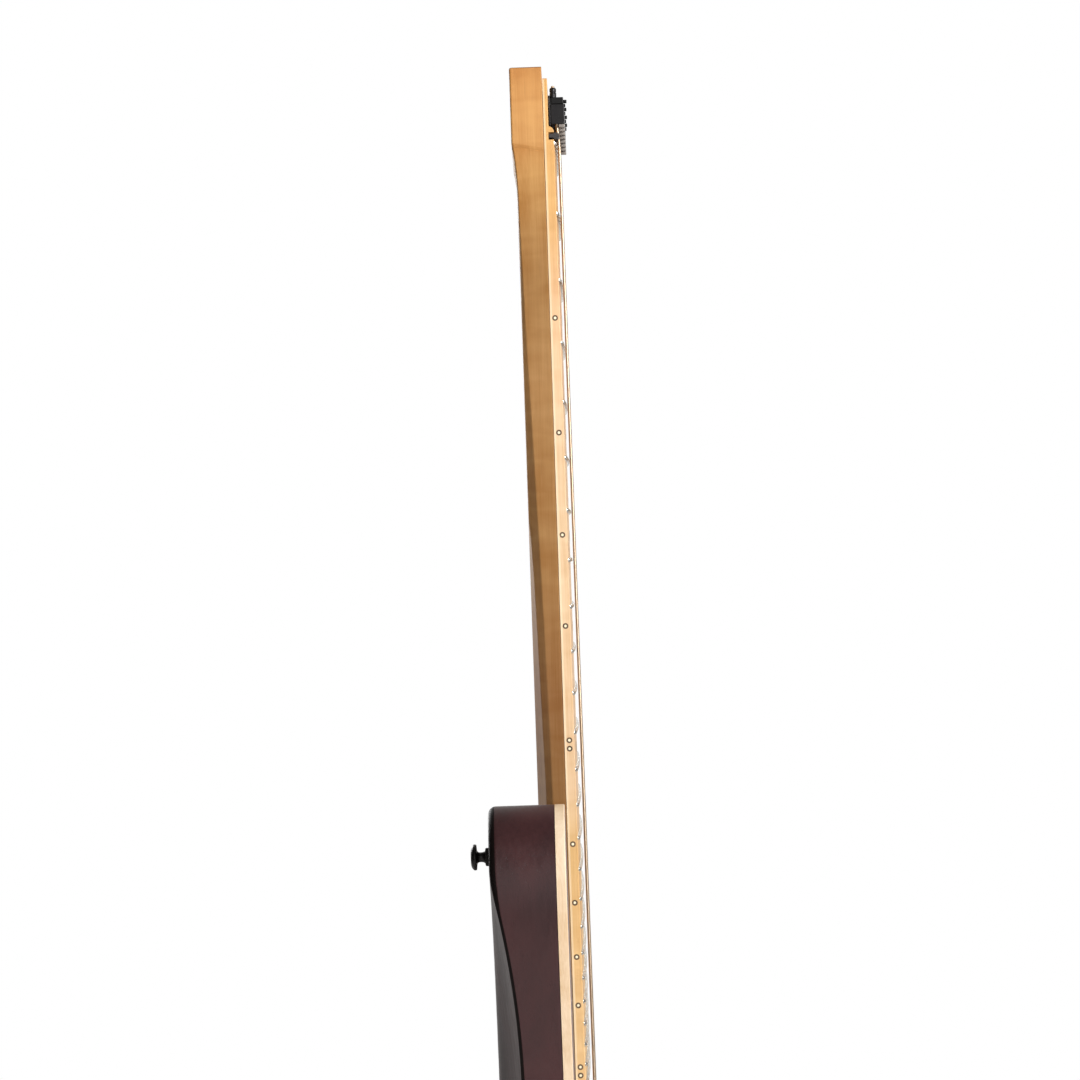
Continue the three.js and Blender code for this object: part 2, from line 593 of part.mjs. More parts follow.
for (let index = 0; index < STRING_COUNT; index += 1) {
  const number = STRING_COUNT - index;
  const crossing = stringOffset(index, ZERO_Z);
  const { y, z } = saddlePlace(index);
  place(piece(`string_${number}`, makeString(index), FINISH.wire));
  place(piece(`string_lock_${number}`, makeStringLock(), FINISH.blackMetal), 0, crossing, fanned(ZERO_Z, crossing));
  place(piece(`tuner_carriage_${number}`, makeCarriage(), FINISH.greyMetal), 0, y, z);
  place(piece(`tuner_knob_${number}`, makeTunerKnob(), FINISH.blackMetal), TUNER.height, y, z);
}
place(piece('bridge_plate', makeBridge(), FINISH.blackMetal));

place(piece('neck_pickup', makePickup(PICKUP.neckZ), FINISH.blackPlastic));
place(piece('bridge_pickup', makePickup(PICKUP.bridgeZ), FINISH.blackPlastic));
place(piece('volume_pot', makePot(), FINISH.steel), 0, VOLUME.y, VOLUME.z);
place(piece('volume_knob', makeKnob(), FINISH.blackMetal), 0, VOLUME.y, VOLUME.z);
place(piece('tone_pot', makePot(), FINISH.steel), 0, TONE.y, TONE.z);
place(piece('tone_knob', makeKnob(), FINISH.blackMetal), 0, TONE.y, TONE.z);
place(piece('selector_switch', makeSwitchHousing(), FINISH.blackMetal), 0, SELECTOR.y, SELECTOR.z);
place(piece('selector_lever', makeSwitchLever(), FINISH.blackMetal), 0, SELECTOR.y, SELECTOR.z);
place(piece('output_jack', makeJack(), FINISH.blackMetal), JACK.x, sideY, JACK.z);
place(piece('control_cover', makeCover(), FINISH.blackPlastic));

const upperButton = piece('strap_button_upper', makeStrapButton('x'), FINISH.blackMetal);
upperButton.rotation.y = Math.PI;
place(upperButton, -BODY.thickness, STRAP_UPPER.y, STRAP_UPPER.z);
const lowerButton = piece('strap_button_lower', makeStrapButton('z'), FINISH.blackMetal);
lowerButton.rotation.y = Math.PI;
place(lowerButton, STRAP_LOWER.x, STRAP_LOWER.y, tailZ);
NECK_BOLTS.forEach(([y, z], i) => place(piece(`neck_bolt_${i + 1}`, makeNeckBolt(), FINISH.steel), 0, y, z));

const centre = new THREE.Box3().setFromObject(guitar, true).getCenter(new THREE.Vector3());
guitar.position.copy(centre).negate();

const part = new THREE.Group();
part.add(guitar);

export default part;
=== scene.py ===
"""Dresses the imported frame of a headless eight-string guitar with fanned frets.

Shapes are drawn in millimetres in the maker's frame: x = 0 is the glue face of the neck and the top, y = 0
the centreline and z = 0 the neutral fret, +x is the front, -y the low strings' side and +z the head.
"""

import logging
import math
from collections.abc import Callable
from dataclasses import dataclass, field
from enum import Enum

import bmesh
import bpy
import numpy as np
from mathutils import Matrix, Vector
from mathutils.geometry import delaunay_2d_cdt


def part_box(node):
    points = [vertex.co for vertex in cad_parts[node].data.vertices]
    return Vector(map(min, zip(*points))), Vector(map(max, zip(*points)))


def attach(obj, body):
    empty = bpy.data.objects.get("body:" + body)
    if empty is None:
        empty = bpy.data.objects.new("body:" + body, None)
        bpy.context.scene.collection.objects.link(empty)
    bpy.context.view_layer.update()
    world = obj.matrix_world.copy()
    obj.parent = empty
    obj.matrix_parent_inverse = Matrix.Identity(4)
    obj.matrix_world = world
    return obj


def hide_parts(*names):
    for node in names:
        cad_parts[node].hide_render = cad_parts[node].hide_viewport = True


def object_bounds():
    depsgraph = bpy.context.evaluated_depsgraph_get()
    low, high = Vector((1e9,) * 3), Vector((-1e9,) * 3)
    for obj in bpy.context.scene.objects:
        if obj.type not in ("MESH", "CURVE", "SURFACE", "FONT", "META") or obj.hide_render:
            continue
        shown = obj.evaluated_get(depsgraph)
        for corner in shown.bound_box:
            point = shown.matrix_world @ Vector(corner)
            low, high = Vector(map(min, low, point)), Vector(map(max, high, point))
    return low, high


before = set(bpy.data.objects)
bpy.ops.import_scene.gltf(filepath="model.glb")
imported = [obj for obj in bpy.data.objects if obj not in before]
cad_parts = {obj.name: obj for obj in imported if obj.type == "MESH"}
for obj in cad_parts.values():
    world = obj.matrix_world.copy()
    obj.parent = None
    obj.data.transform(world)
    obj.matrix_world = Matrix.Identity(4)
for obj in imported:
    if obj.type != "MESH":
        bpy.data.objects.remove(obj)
CAD_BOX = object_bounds()

MM = 0.001
LOG = logging.getLogger("guitar")
Array = np.ndarray
Ripple = Callable[[Array, Array], Array]


# ---------------------------------------------------------------- layout


@dataclass(frozen=True)
class Layout:
    """The driving dimensions, in millimetres, and the fan of the frets."""

    scale_low: float = 711.2
    scale_high: float = 673.1
    neutral_fret: int = 7
    last_fret: int = 24
    string_count: int = 8
    span_nut: float = 45.5
    span_saddle: float = 71.75
    half_nut: float = 27.3
    half_saddle: float = 38.9
    board_edge: float = 5.9
    board_radius: float = 508.0
    saddle_top: float = 10.4
    fret_height: float = 1.5
    gap: float = 0.3
    touch: float = 0.1
    body_thickness: float = 42.8
    cap: float = 5.6

    @property
    def scale_mid(self) -> float:
        """Scale length on the centreline."""
        return (self.scale_low + self.scale_high) / 2

    @property
    def zero_z(self) -> float:
        """Height of the zero fret on the centreline."""
        return float(self.fret_z(0))

    @property
    def saddle_z(self) -> float:
        """Height of the saddles' line on the centreline."""
        return self.zero_z - self.scale_mid

    def fret_z(self, fret: Array | float) -> Array:
        """Height of a fret: scale times (2 to the -fret/12, less 2 to the -neutral/12)."""
        return self.scale_mid * (2.0 ** (-np.asarray(fret) / 12) - 2.0 ** (-self.neutral_fret / 12))

    def taper(self, z: Array | float, at_nut: float, at_saddle: float) -> Array:
        """A width that changes evenly from the zero fret to the saddles."""
        return at_nut + (at_saddle - at_nut) * (self.zero_z - np.asarray(z)) / self.scale_mid

    def board_half(self, z: Array | float) -> Array:
        """Half the width of the fingerboard at height z."""
        return self.taper(z, self.half_nut, self.half_saddle)

    def string_span(self, z: Array | float) -> Array:
        """Distance between the outer strings at height z."""
        return self.taper(z, self.span_nut, self.span_saddle)

    def fan_slope(self, z: Array | float) -> Array:
        """Slope of the fret-parallel line through height z: the scales' difference shared over the span."""
        return -(self.scale_low - self.scale_high) / self.scale_mid * np.asarray(z) / self.string_span(z)

    def fanned(self, z: Array | float, y: Array | float) -> Array:
        """Height at offset y of the fret-parallel line that crosses the centreline at z."""
        return z + self.fan_slope(z) * y

    def string_y(self, index: int, z: Array | float) -> Array:
        """Offset of string `index`, counted from the lowest, at height z."""
        return self.string_span(z) * (index / (self.string_count - 1) - 0.5)

    def crown(self, half: Array | float, y: Array | float) -> Array:
        """Rise of a shallow arch over its edges: (half width squared - y squared) / twice the radius."""
        return (np.asarray(half) ** 2 - np.asarray(y) ** 2) / (2 * self.board_radius)

    def board_top(self, y: Array | float, z: Array | float) -> Array:
        """Height of the playing face over the glue face."""
        return self.board_edge + self.crown(self.board_half(z), y)

    def saddle_crest(self, y: float) -> float:
        """Top of a saddle at offset y."""
        return float(self.saddle_top + self.crown(self.span_saddle / 2, y))

    def origin(self) -> Array:
        """The maker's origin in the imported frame: glue face, neck's middle and the neutral fret's height."""
        neck = packed_box("neck")
        zero = packed_box("zero_fret")
        return np.array([neck[1, 0], neck[:, 1].mean(), zero[:, 2].mean() - self.zero_z])


def packed_box(node: str) -> Array:
    """A node's lowest and highest corner at rest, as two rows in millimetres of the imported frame."""
    return np.array([list(corner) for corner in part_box(node)]) / MM


LAYOUT = Layout()
ORIGIN = LAYOUT.origin()


def maker_box(node: str) -> Array:
    """A node's lowest and highest corner at rest, as two rows in the maker's frame."""
    return packed_box(node) - ORIGIN


# ---------------------------------------------------------------- surfaces


@dataclass
class Skin:
    """A surface: points (n, 3) in millimetres, and patches of faces, each an array of point numbers."""

    points: Array
    patches: list[Array]

    def __add__(self, other: "Skin") -> "Skin":
        """Both surfaces as one."""
        shifted = [patch + len(self.points) for patch in other.patches]
        return Skin(np.vstack([self.points, other.points]), self.patches + shifted)

    def moved(self, x: float = 0.0, y: float = 0.0, z: float = 0.0) -> "Skin":
        """The same surface, shifted."""
        return Skin(self.points + np.array([x, y, z]), self.patches)


class Axis(Enum):
    """The axis of a turned piece; the value is how far (along, across, up) rolls into x, y, z."""

    X = 0
    Y = 1
    Z = 2


def lofted(rings: Array, looped: bool = False) -> Skin:
    """A skin through rings of points, with quads between neighbouring rings.

    Args:
        rings: (ring count, points in a ring, 3); point i of a ring joins point i of the next.
        looped: The last ring joins the first, as on a torus; otherwise a flat cap closes each end.

    Returns:
        The closed skin.
    """
    count, around = rings.shape[:2]
    first = np.arange(count if looped else count - 1)[:, None] * around
    second = (first + around) % (count * around)
    here = np.arange(around)[None, :]
    there = (here + 1) % around
    quads = np.stack([first + here, first + there, second + there, second + here], axis=-1).reshape(-1, 4)
    ends = [] if looped else [here[:, ::-1], here + (count - 1) * around]
    return Skin(rings.reshape(-1, 3), [quads, *ends])


def turned(profile: Array, axis: Axis, centre: Array, segments: int = 48, way: int = 1,
           ripple: Ripple | None = None, looped: bool = False) -> Skin:
    """A turned piece: the profile (radius, distance along the axis) carried round the axis.

    Args:
        profile: (n, 2) rows of radius and distance.
        axis: The axis of turning.
        centre: The point on the axis where the distance is nought.
        segments: Steps round the axis.
        way: 1 if distances run along the axis, -1 if they run against it.
        ripple: Radius added at (angle, distance).
        looped: The profile closes on itself.

    Returns:
        The skin of revolution.
    """
    radius, along = np.asarray(profile, float).T[:, :, None]
    angle = np.arange(segments)[None, :] * 2 * np.pi / segments
    along = along + 0 * angle
    radius = radius + (ripple(angle, along) if ripple else 0 * angle)
    local = np.stack([way * along, radius * np.cos(angle), radius * np.sin(angle)], axis=-1)
    return lofted(np.roll(local, axis.value, axis=-1) + np.asarray(centre, float), looped)


def eased(corners: Array, radius: Array | float, steps: int = 4, closed: bool = True) -> Array:
    """Corners turned into short curves.

    Each corner P becomes the quadratic Bezier curve from P + r u to P + r v, where u and v point to its
    neighbours and r is the radius, or 0.45 of the shorter side if that is less.

    Args:
        corners: (..., n, dimensions).
        radius: One radius, or one for each corner.
        steps: Points on each curve.
        closed: The last corner is joined to the first; otherwise both ends stay sharp.

    Returns:
        (..., n * steps, dimensions).
    """
    corners = np.asarray(corners, float)
    before = np.roll(corners, 1, axis=-2) - corners
    after = np.roll(corners, -1, axis=-2) - corners
    reach = [np.maximum(np.linalg.norm(side, axis=-1, keepdims=True), 1e-9) for side in (before, after)]
    wanted = np.broadcast_to(radius, corners.shape[-2:-1]).astype(float).copy()
    if not closed:
        wanted[[0, -1]] = 0.0
    used = np.minimum(wanted[:, None], 0.45 * np.minimum(*reach))
    start = (corners + before / reach[0] * used)[..., None, :]
    end = (corners + after / reach[1] * used)[..., None, :]
    t = np.linspace(0, 1, steps)[:, None]
    curve = (1 - t) ** 2 * start + 2 * t * (1 - t) * corners[..., None, :] + t**2 * end
    return curve.reshape(*corners.shape[:-2], -1, corners.shape[-1])


def resampled(path: Array, spacing: float) -> tuple[Array, Array]:
    """Points at even distances along a polyline, and those distances."""
    lengths = np.linalg.norm(np.diff(path, axis=0), axis=1)
    reached = np.concatenate([[0.0], np.cumsum(lengths)])
    distance = np.linspace(0, reached[-1], max(2, int(reached[-1] / spacing) + 1))
    points = np.stack([np.interp(distance, reached, path[:, axis]) for axis in range(3)], axis=1)
    return points, distance


def tube(path: Array, radius: Array | float, sides: int = 12) -> Skin:
    """A round wire that runs mainly along z: at each path point a circle level in z."""
    angle = (np.arange(sides) + 0.5) * 2 * np.pi / sides
    circle = np.stack([np.sin(angle), np.cos(angle), 0 * angle], axis=1)
    reach = np.broadcast_to(radius, (len(path), sides))[..., None]
    return lofted(np.asarray(path, float)[:, None, :] + reach * circle)


def offset(outline: Array, distance: Array | float) -> Array:
    """An anticlockwise outline moved outwards by a distance (inwards if negative), with mitred corners."""
    edge = np.roll(outline, -1, axis=0) - outline
    edge = edge / np.linalg.norm(edge, axis=1, keepdims=True)
    normal = np.stack([edge[:, 1], -edge[:, 0]], axis=1)
    joint = normal + np.roll(normal, 1, axis=0)
    mitre = joint * 2 / np.maximum((joint**2).sum(axis=1, keepdims=True), 0.4)
    return outline + mitre * np.asarray(distance).reshape(-1, 1)


def round_over(low: float, high: float, low_round: float, high_round: float, steps: int = 5) -> Array:
    """Levels (inset, x) of a plate whose edges are quarter circles.

    At angle a an edge of radius r is inset by r (1 - cos a) and stands r sin a over the circle's foot.
    """
    a = np.linspace(0, np.pi / 2, steps)
    top = np.stack([high_round * (1 - np.cos(a)), high - high_round * (1 - np.sin(a))], axis=1)
    bottom = np.stack([low_round * (1 - np.cos(a)), low + low_round * (1 - np.sin(a))], axis=1)
    return np.vstack([bottom[::-1], top])


def prism(outline: Array, levels: Array) -> Skin:
    """A plate with an anticlockwise outline (y, z): one ring for each level (inset, x)."""
    rings = [np.column_stack([np.full(len(outline), x), offset(outline, -inset)]) for inset, x in levels]
    return lofted(np.array(rings))


def slab(low: Array, high: Array) -> Skin:
    """A box between two corners."""
    (x0, y0, z0), (x1, y1, z1) = low, high
    return prism(np.array([[y0, z0], [y1, z0], [y1, z1], [y0, z1]]), np.array([[0, x0], [0, x1]]))


def swept(profile: Array, across: Array, place: Callable[[Array, Array], Array]) -> Skin:
    """A profile (x, along) carried across the instrument.

    Args:
        profile: (n, 2) closed profile.
        across: Offsets y of the sections.
        place: Height of a point from its offset y and its distance along.

    Returns:
        The skin, one ring for each offset.
    """
    y = np.asarray(across, float)[:, None] + 0 * profile[None, :, 0]
    x = profile[None, :, 0] + 0 * y
    return lofted(np.stack([x, y, place(y, profile[None, :, 1])], axis=-1))


def arc_outline(half_length: float, half_width: float, corner: float, steps: int = 8) -> Array:
    """A rectangle about the origin with quarter circles for corners, anticlockwise."""
    signs = np.array([[1, 1], [-1, 1], [-1, -1], [1, -1]])
    centres = signs * (np.array([half_length, half_width]) - corner)
    angle = np.arange(4)[:, None] * np.pi / 2 + np.linspace(0, np.pi / 2, steps)
    arcs = centres[:, None, :] + corner * np.stack([np.cos(angle), np.sin(angle)], axis=-1)
    return arcs.reshape(-1, 2)


def closed_spline(controls: Array, steps: int) -> Array:
    """A closed uniform cubic B-spline: each point blends four neighbouring controls by cubic weights."""
    t = np.arange(steps) / steps
    weights = np.stack([(1 - t) ** 3, 3 * t**3 - 6 * t**2 + 4, -3 * t**3 + 3 * t**2 + 3 * t + 1, t**3]) / 6
    runs = np.stack([np.roll(controls, -k, axis=0) for k in range(4)])
    return np.einsum("ks,knd->nsd", weights, runs).reshape(-1, 2)


def knurl(teeth: int, slant: float, depth: float, low: float, high: float) -> Ripple:
    """A diamond knurl: two crossing waves round the axis, faded out at both ends of its band."""
    def ripple(angle: Array, along: Array) -> Array:
        """Radius added: depth times half the sum of cos(teeth a + slant s) and cos(teeth a - slant s)."""
        fade = np.clip(np.minimum(along - low, high - along) / 0.4, 0, 1)
        waves = np.cos(teeth * angle + slant * along) + np.cos(teeth * angle - slant * along)
        return depth * fade * (waves / 2 - 1)
    return ripple


def hex_socket(centre: Array, axis: Axis, radius: float, depth: float, way: int = 1) -> Skin:
    """A six-sided recess to cut from a screw's head."""
    profile = np.array([[0, -depth], [radius, -depth], [radius, 1], [0, 1]])
    return turned(profile, axis, centre, 6, way)


# ---------------------------------------------------------------- finishes


def tint(code: int) -> tuple[float, float, float, float]:
    """A colour from its hexadecimal code, in linear light: ((c + 0.055) / 1.055) to the power 2.4."""
    channels = [((code >> shift) & 255) / 255 for shift in (16, 8, 0)]
    linear = [c / 12.92 if c <= 0.04045 else ((c + 0.055) / 1.055) ** 2.4 for c in channels]
    return (*linear, 1.0)


class Recipe:
    """One material's node tree, with short ways to add nodes."""

    def __init__(self, name: str) -> None:
        """Starts a material with an empty Principled shader."""
        self.material = bpy.data.materials.new(f"{name}_finish")
        self.material.use_nodes = True
        self.tree = self.material.node_tree
        self.shader = self.tree.nodes["Principled BSDF"]
        self.place = self.add("ShaderNodeTexCoord").outputs["Object"]

    def add(self, kind: str, inputs: dict | None = None, **settings: object) -> bpy.types.Node:
        """Adds a node.

        Args:
            kind: The node's type name.
            inputs: Values or sockets for its inputs, by name or number.
            settings: The node's own properties.

        Returns:
            The node.
        """
        node = self.tree.nodes.new(kind)
        for key, value in settings.items():
            setattr(node, key, value)
        for key, value in (inputs or {}).items():
            self.feed(node.inputs[key], value)
        return node

    def feed(self, socket: bpy.types.NodeSocket, value: object) -> None:
        """Links a socket to another, or sets its value."""
        if isinstance(value, bpy.types.NodeSocket):
            self.tree.links.new(value, socket)
        else:
            socket.default_value = value

    def stretched(self, scale: tuple[float, float, float]) -> bpy.types.NodeSocket:
        """Object coordinates times a scale for each axis."""
        return self.add("ShaderNodeMapping", {"Vector": self.place, "Scale": scale}).outputs["Vector"]

    def noise(self, scale: tuple[float, float, float], detail: float = 3.0,
              twist: float = 0.0) -> bpy.types.NodeSocket:
        """Fractal noise with a scale for each axis, in features per metre."""
        inputs = {"Vector": self.stretched(scale), "Scale": 1.0, "Detail": detail, "Distortion": twist}
        return self.add("ShaderNodeTexNoise", inputs).outputs["Fac"]

    def remap(self, value: object, low: float, high: float, to_low: float,
              to_high: float) -> bpy.types.NodeSocket:
        """A value moved from one range to another, and held inside it."""
        inputs = {"Value": value, "From Min": low, "From Max": high, "To Min": to_low, "To Max": to_high}
        return self.add("ShaderNodeMapRange", inputs).outputs["Result"]

    def mix(self, factor: object, first: object, second: object, mode: str = "MIX") -> bpy.types.NodeSocket:
        """Two colours mixed."""
        node = self.add("ShaderNodeMix", {0: factor, 6: first, 7: second}, data_type="RGBA", blend_type=mode)
        return node.outputs[2]

    def maths(self, operation: str, first: object, second: object = 0.0) -> bpy.types.NodeSocket:
        """Two numbers put through a Math node."""
        return self.add("ShaderNodeMath", {0: first, 1: second}, operation=operation).outputs[0]

    def along(self, axis: str) -> bpy.types.NodeSocket:
        """One coordinate of the place, in metres."""
        return self.add("ShaderNodeSeparateXYZ", {0: self.place}).outputs[axis]

    def bump(self, height: object, distance: float, strength: float = 1.0) -> None:
        """Bumps the shader's normal by a height, in metres of distance."""
        node = self.add("ShaderNodeBump", {"Height": height, "Distance": distance, "Strength": strength})
        self.feed(self.shader.inputs["Normal"], node.outputs["Normal"])

    def dress(self, **inputs: object) -> bpy.types.Material:
        """Feeds the shader's inputs, named with _ for spaces, and returns the material."""
        for key, value in inputs.items():
            self.feed(self.shader.inputs[key.replace("_", " ")], value)
        return self.material


@dataclass(frozen=True)
class Finish:
    """A surface finish, made into a material once."""

    name: str

    def recipe(self) -> bpy.types.Material:
        """Makes the material."""
        raise NotImplementedError

    def material(self) -> bpy.types.Material:
        """The finish's material."""
        return bpy.data.materials.get(f"{self.name}_finish") or self.recipe()


@dataclass(frozen=True)
class Wood(Finish):
    """Satin wood with its grain along z: fibres, soft broad streaks, and curl across the grain.

    `tones_and_painted_light` are heights in the maker's frame with the colour there, from the tail up: the
    wood's light tone, which on the neck and board also carries painted light and shade along the height.
    """

    tones_and_painted_light: tuple[tuple[float, int], ...]
    shade: int = 0xE2D2BC
    fleck: int = 0x8A5A30
    curl: float = 0.1
    fleck_share: float = 0.12
    roughness: float = 0.42
    coat: float = 0.15
    # Colour of a painted highlight along the glue line, or None.
    painted_glue_highlight: int | None = None
    end_from: float | None = None

    def tone(self, r: Recipe) -> bpy.types.NodeSocket:
        """The light tone at each height, with any painted light and shade, on a colour ramp over the stops'
        own stretch.
        """
        low, high = self.tones_and_painted_light[0][0], self.tones_and_painted_light[-1][0]
        place = r.remap(r.along("Z"), (ORIGIN[2] + low) * MM, (ORIGIN[2] + high) * MM, 0, 1)
        ramp = r.add("ShaderNodeValToRGB", {"Fac": place})
        stops = ramp.color_ramp.elements
        for z, code in self.tones_and_painted_light[1:-1]:
            stops.new((z - low) / (high - low)).color = tint(code)
        stops[0].color, stops[-1].color = tint(self.tones_and_painted_light[0][1]), tint(self.tones_and_painted_light[-1][1])
        return ramp.outputs["Color"]

    def recipe(self) -> bpy.types.Material:
        """Darkens the tone by streaks, fibres and curl, lays flecks over it, and paints a highlight along the
        glue line where one is given.
        """
        r = Recipe(self.name)
        streaks = r.noise((90, 90, 4), 4, 0.4)
        fibres = r.noise((1400, 1400, 28), 2)
        curl = r.noise((26, 26, 85), 2, 0.5)
        body = r.maths("ADD", r.maths("MULTIPLY", streaks, 0.7), r.maths("MULTIPLY", fibres, 0.3))
        body = r.maths("ADD", body, r.maths("MULTIPLY", r.maths("SUBTRACT", curl, 0.5), self.curl * 6))
        colour = r.mix(r.remap(body, 0.3, 0.7, 0, 1), self.tone(r), tint(self.shade), "MULTIPLY")
        flecks = r.remap(r.noise((420, 420, 34), 2), 0.66, 0.78, 0, self.fleck_share)
        colour = r.mix(flecks, colour, tint(self.fleck))
        # Painted highlight: a pale band on the board's side just over the glue line, for the light that edge
        # catches.
        if self.painted_glue_highlight is not None:
            painted_highlight_share = r.remap(r.along("X"), (ORIGIN[0] + 1.2) * MM, (ORIGIN[0] + 1.7) * MM, 0.45, 0)
            colour = r.mix(painted_highlight_share, colour, tint(self.painted_glue_highlight))
        if self.end_from is not None:
            slope = float(LAYOUT.fan_slope(self.end_from))
            level = r.maths("SUBTRACT", r.along("Z"), r.maths("MULTIPLY", r.along("Y"), slope))
            start = (ORIGIN[2] + self.end_from - slope * ORIGIN[1]) * MM
            colour = r.mix(r.remap(level, start - 0.0004, start, 0, 0.9), colour, tint(self.fleck))
        r.bump(fibres, 0.00003)
        rough = r.remap(fibres, 0.3, 0.7, self.roughness - 0.05, self.roughness + 0.07)
        return r.dress(Base_Color=colour, Roughness=rough, Coat_Weight=self.coat, Coat_Roughness=0.35,
                       Specular_IOR_Level=0.35)


@dataclass(frozen=True)
class Stain(Finish):
    """Dark stain under satin lacquer, open pores along the grain, with or without a flamed figure."""

    deep: int = 0x2C1416
    warm: int = 0x54302F
    figure: float = 0.0
    roughness: float = 0.42
    gloss: float = 0.5
    streak: float = 0.35

    def recipe(self) -> bpy.types.Material:
        """Mixes the deep and warm stain by cloudy patches and, if there is one, by bands across the grain."""
        r = Recipe(self.name)
        clouds = r.noise((22, 22, 9), 3, 0.6)
        grain = r.noise((500, 500, 14), 3)
        bands = r.noise((14, 10, 150), 3, 1.2)
        mottle = r.maths("ADD", r.maths("MULTIPLY", clouds, 1 - self.streak),
                         r.maths("MULTIPLY", grain, self.streak))
        mottle = r.maths("ADD", mottle, r.maths("MULTIPLY", r.maths("SUBTRACT", bands, 0.5), self.figure))
        colour = r.mix(r.remap(mottle, 0.32, 0.68, 0, 1), tint(self.deep), tint(self.warm))
        pores = r.remap(r.noise((2200, 2200, 60), 2), 0.62, 0.72, 0, 1)
        colour = r.mix(r.maths("MULTIPLY", pores, 0.35), colour, tint(0x140A0A))
        r.bump(r.maths("SUBTRACT", r.maths("MULTIPLY", grain, 0.4), pores), 0.00002)
        rough = r.remap(grain, 0.3, 0.7, self.roughness - 0.04, self.roughness + 0.06)
        return r.dress(Base_Color=colour, Roughness=rough, Specular_IOR_Level=self.gloss)


@dataclass(frozen=True)
class Metal(Finish):
    """Metal, bare, plated or blacked: fine brushing along z, cloudy polish and a few worn specks."""

    colour: int = 0x2B2A2A
    worn: int = 0x55514E
    metallic: float = 0.85
    roughness: float = 0.38
    brushing: float = 0.5
    grit: float = 0.00001

    def recipe(self) -> bpy.types.Material:
        """Mixes the plating with worn metal by specks, and varies the polish by clouds and brushing."""
        r = Recipe(self.name)
        brushed = r.noise((3000, 3000, 160), 2)
        clouds = r.noise((180, 180, 180), 3)
        specks = r.remap(r.noise((900, 900, 900), 4), 0.66, 0.8, 0, 0.5)
        shade = r.maths("ADD", r.maths("MULTIPLY", clouds, 0.5),
                        r.maths("MULTIPLY", brushed, self.brushing * 0.5))
        colour = r.mix(r.maths("MAXIMUM", specks, r.remap(shade, 0.4, 0.9, 0, 0.35)), tint(self.colour),
                       tint(self.worn))
        rough = r.remap(shade, 0.2, 0.7, self.roughness - 0.07, self.roughness + 0.1)
        r.bump(r.noise((2600, 2600, 900), 2), self.grit)
        return r.dress(Base_Color=colour, Roughness=rough, Metallic=self.metallic)


@dataclass(frozen=True)
class Moulded(Finish):
    """Moulded plastic, shell or bone: an even colour with fine texture and faint clouds."""

    colour: int = 0x1C1C1D
    pale: int = 0x242426
    roughness: float = 0.5
    grain: float = 0.00003
    scale: float = 1500.0

    def recipe(self) -> bpy.types.Material:
        """Mixes two near colours by clouds and bumps the surface by a fine even texture."""
        r = Recipe(self.name)
        clouds = r.noise((120, 120, 120), 4, 0.8)
        texture = r.noise((self.scale,) * 3, 2)
        colour = r.mix(r.remap(clouds, 0.35, 0.65, 0, 1), tint(self.colour), tint(self.pale))
        rough = r.remap(texture, 0.3, 0.7, self.roughness - 0.05, self.roughness + 0.08)
        r.bump(texture, self.grain)
        return r.dress(Base_Color=colour, Roughness=rough)


# The neck's tones along its height are partly the maple's own and partly painted light and shade: darker
# towards the heel and brightest round the middle of the neck.
NECK_MAPLE_AND_PAINTED_LIGHT = Wood("neck_maple", ((-294.0, 0xAE8157), (-133.0, 0xBA8B5A), (-75.0, 0xC59160), (0.0, 0xDBA76D),
                                 (100.0, 0xE8B378), (190.0, 0xD7A367), (222.0, 0xD4A061), (272.5, 0xD59B59)),
                  fleck=0x7A4A22, curl=0.1, coat=0.04, roughness=0.5, end_from=272.1)
# The board's tones along its height are partly the maple's own and partly painted light and shade: pale cream
# on the middle stretch, more orange over the body and towards the head. Its glue-line strip is a painted
# highlight.
BOARD_MAPLE_AND_PAINTED_LIGHT = Wood("board_maple", ((-300.0, 0xF3D09B), (-165.0, 0xE7BF84), (-130.0, 0xEFD1AD),
                                   (60.0, 0xF1D3AE),
                                   (150.0, 0xF1C79C), (200.0, 0xE8B776), (266.0, 0xE2AF68)),
                   fleck=0xC88F4C, curl=0.06, roughness=0.5, painted_glue_highlight=0xFFEBC8, end_from=265.6)
RIM_MAPLE = Wood("rim_maple", ((-600.0, 0xEED7BC), (-200.0, 0xF1DCC2), (-165.0, 0xF8E9D4),
                               (-130.0, 0xEED6B6)),
                 fleck=0xD9B07A, curl=0.04, fleck_share=0.06)
BACK_STAIN = Stain("back_stain", 0x2A1516, 0x462425, roughness=0.36, gloss=0.4, streak=0.12)
# Painted shade: a near-black finish for the rounded edge between side and back, standing in for the dark
# surroundings that edge reflects.
EDGE_PAINTED_SHADE = Stain("edge_painted_shade", 0x100B0A, 0x1B1312, roughness=0.5, gloss=0.1, streak=0.12)
TOP_STAIN = Stain("top_stain", 0x270D11, 0x5C242A, figure=1.1, roughness=0.34)
BLACK_METAL = Metal("black_metal", 0x222021, 0x4A4745, metallic=0.6)
JAW_METAL = Metal("jaw_metal", 0x100F0F, 0x242222, metallic=0.5)
GREY_METAL = Metal("grey_metal", 0x4C4948, 0x76716D)
# Painted reflection: the locks' noses are pale grey to stand in for the light their lower ends reflect.
NOSE_PAINTED_REFLECTION = Metal("nose_painted_reflection", 0x8F8780, 0xA89F97, metallic=0.5, roughness=0.45)
FRET_METAL = Metal("fret_metal", 0xCFCBC4, 0xE8E4DC, metallic=1.0, roughness=0.22)
STEEL = Metal("steel", 0xB9B4AC, 0xDAD5CC, metallic=1.0, roughness=0.28)
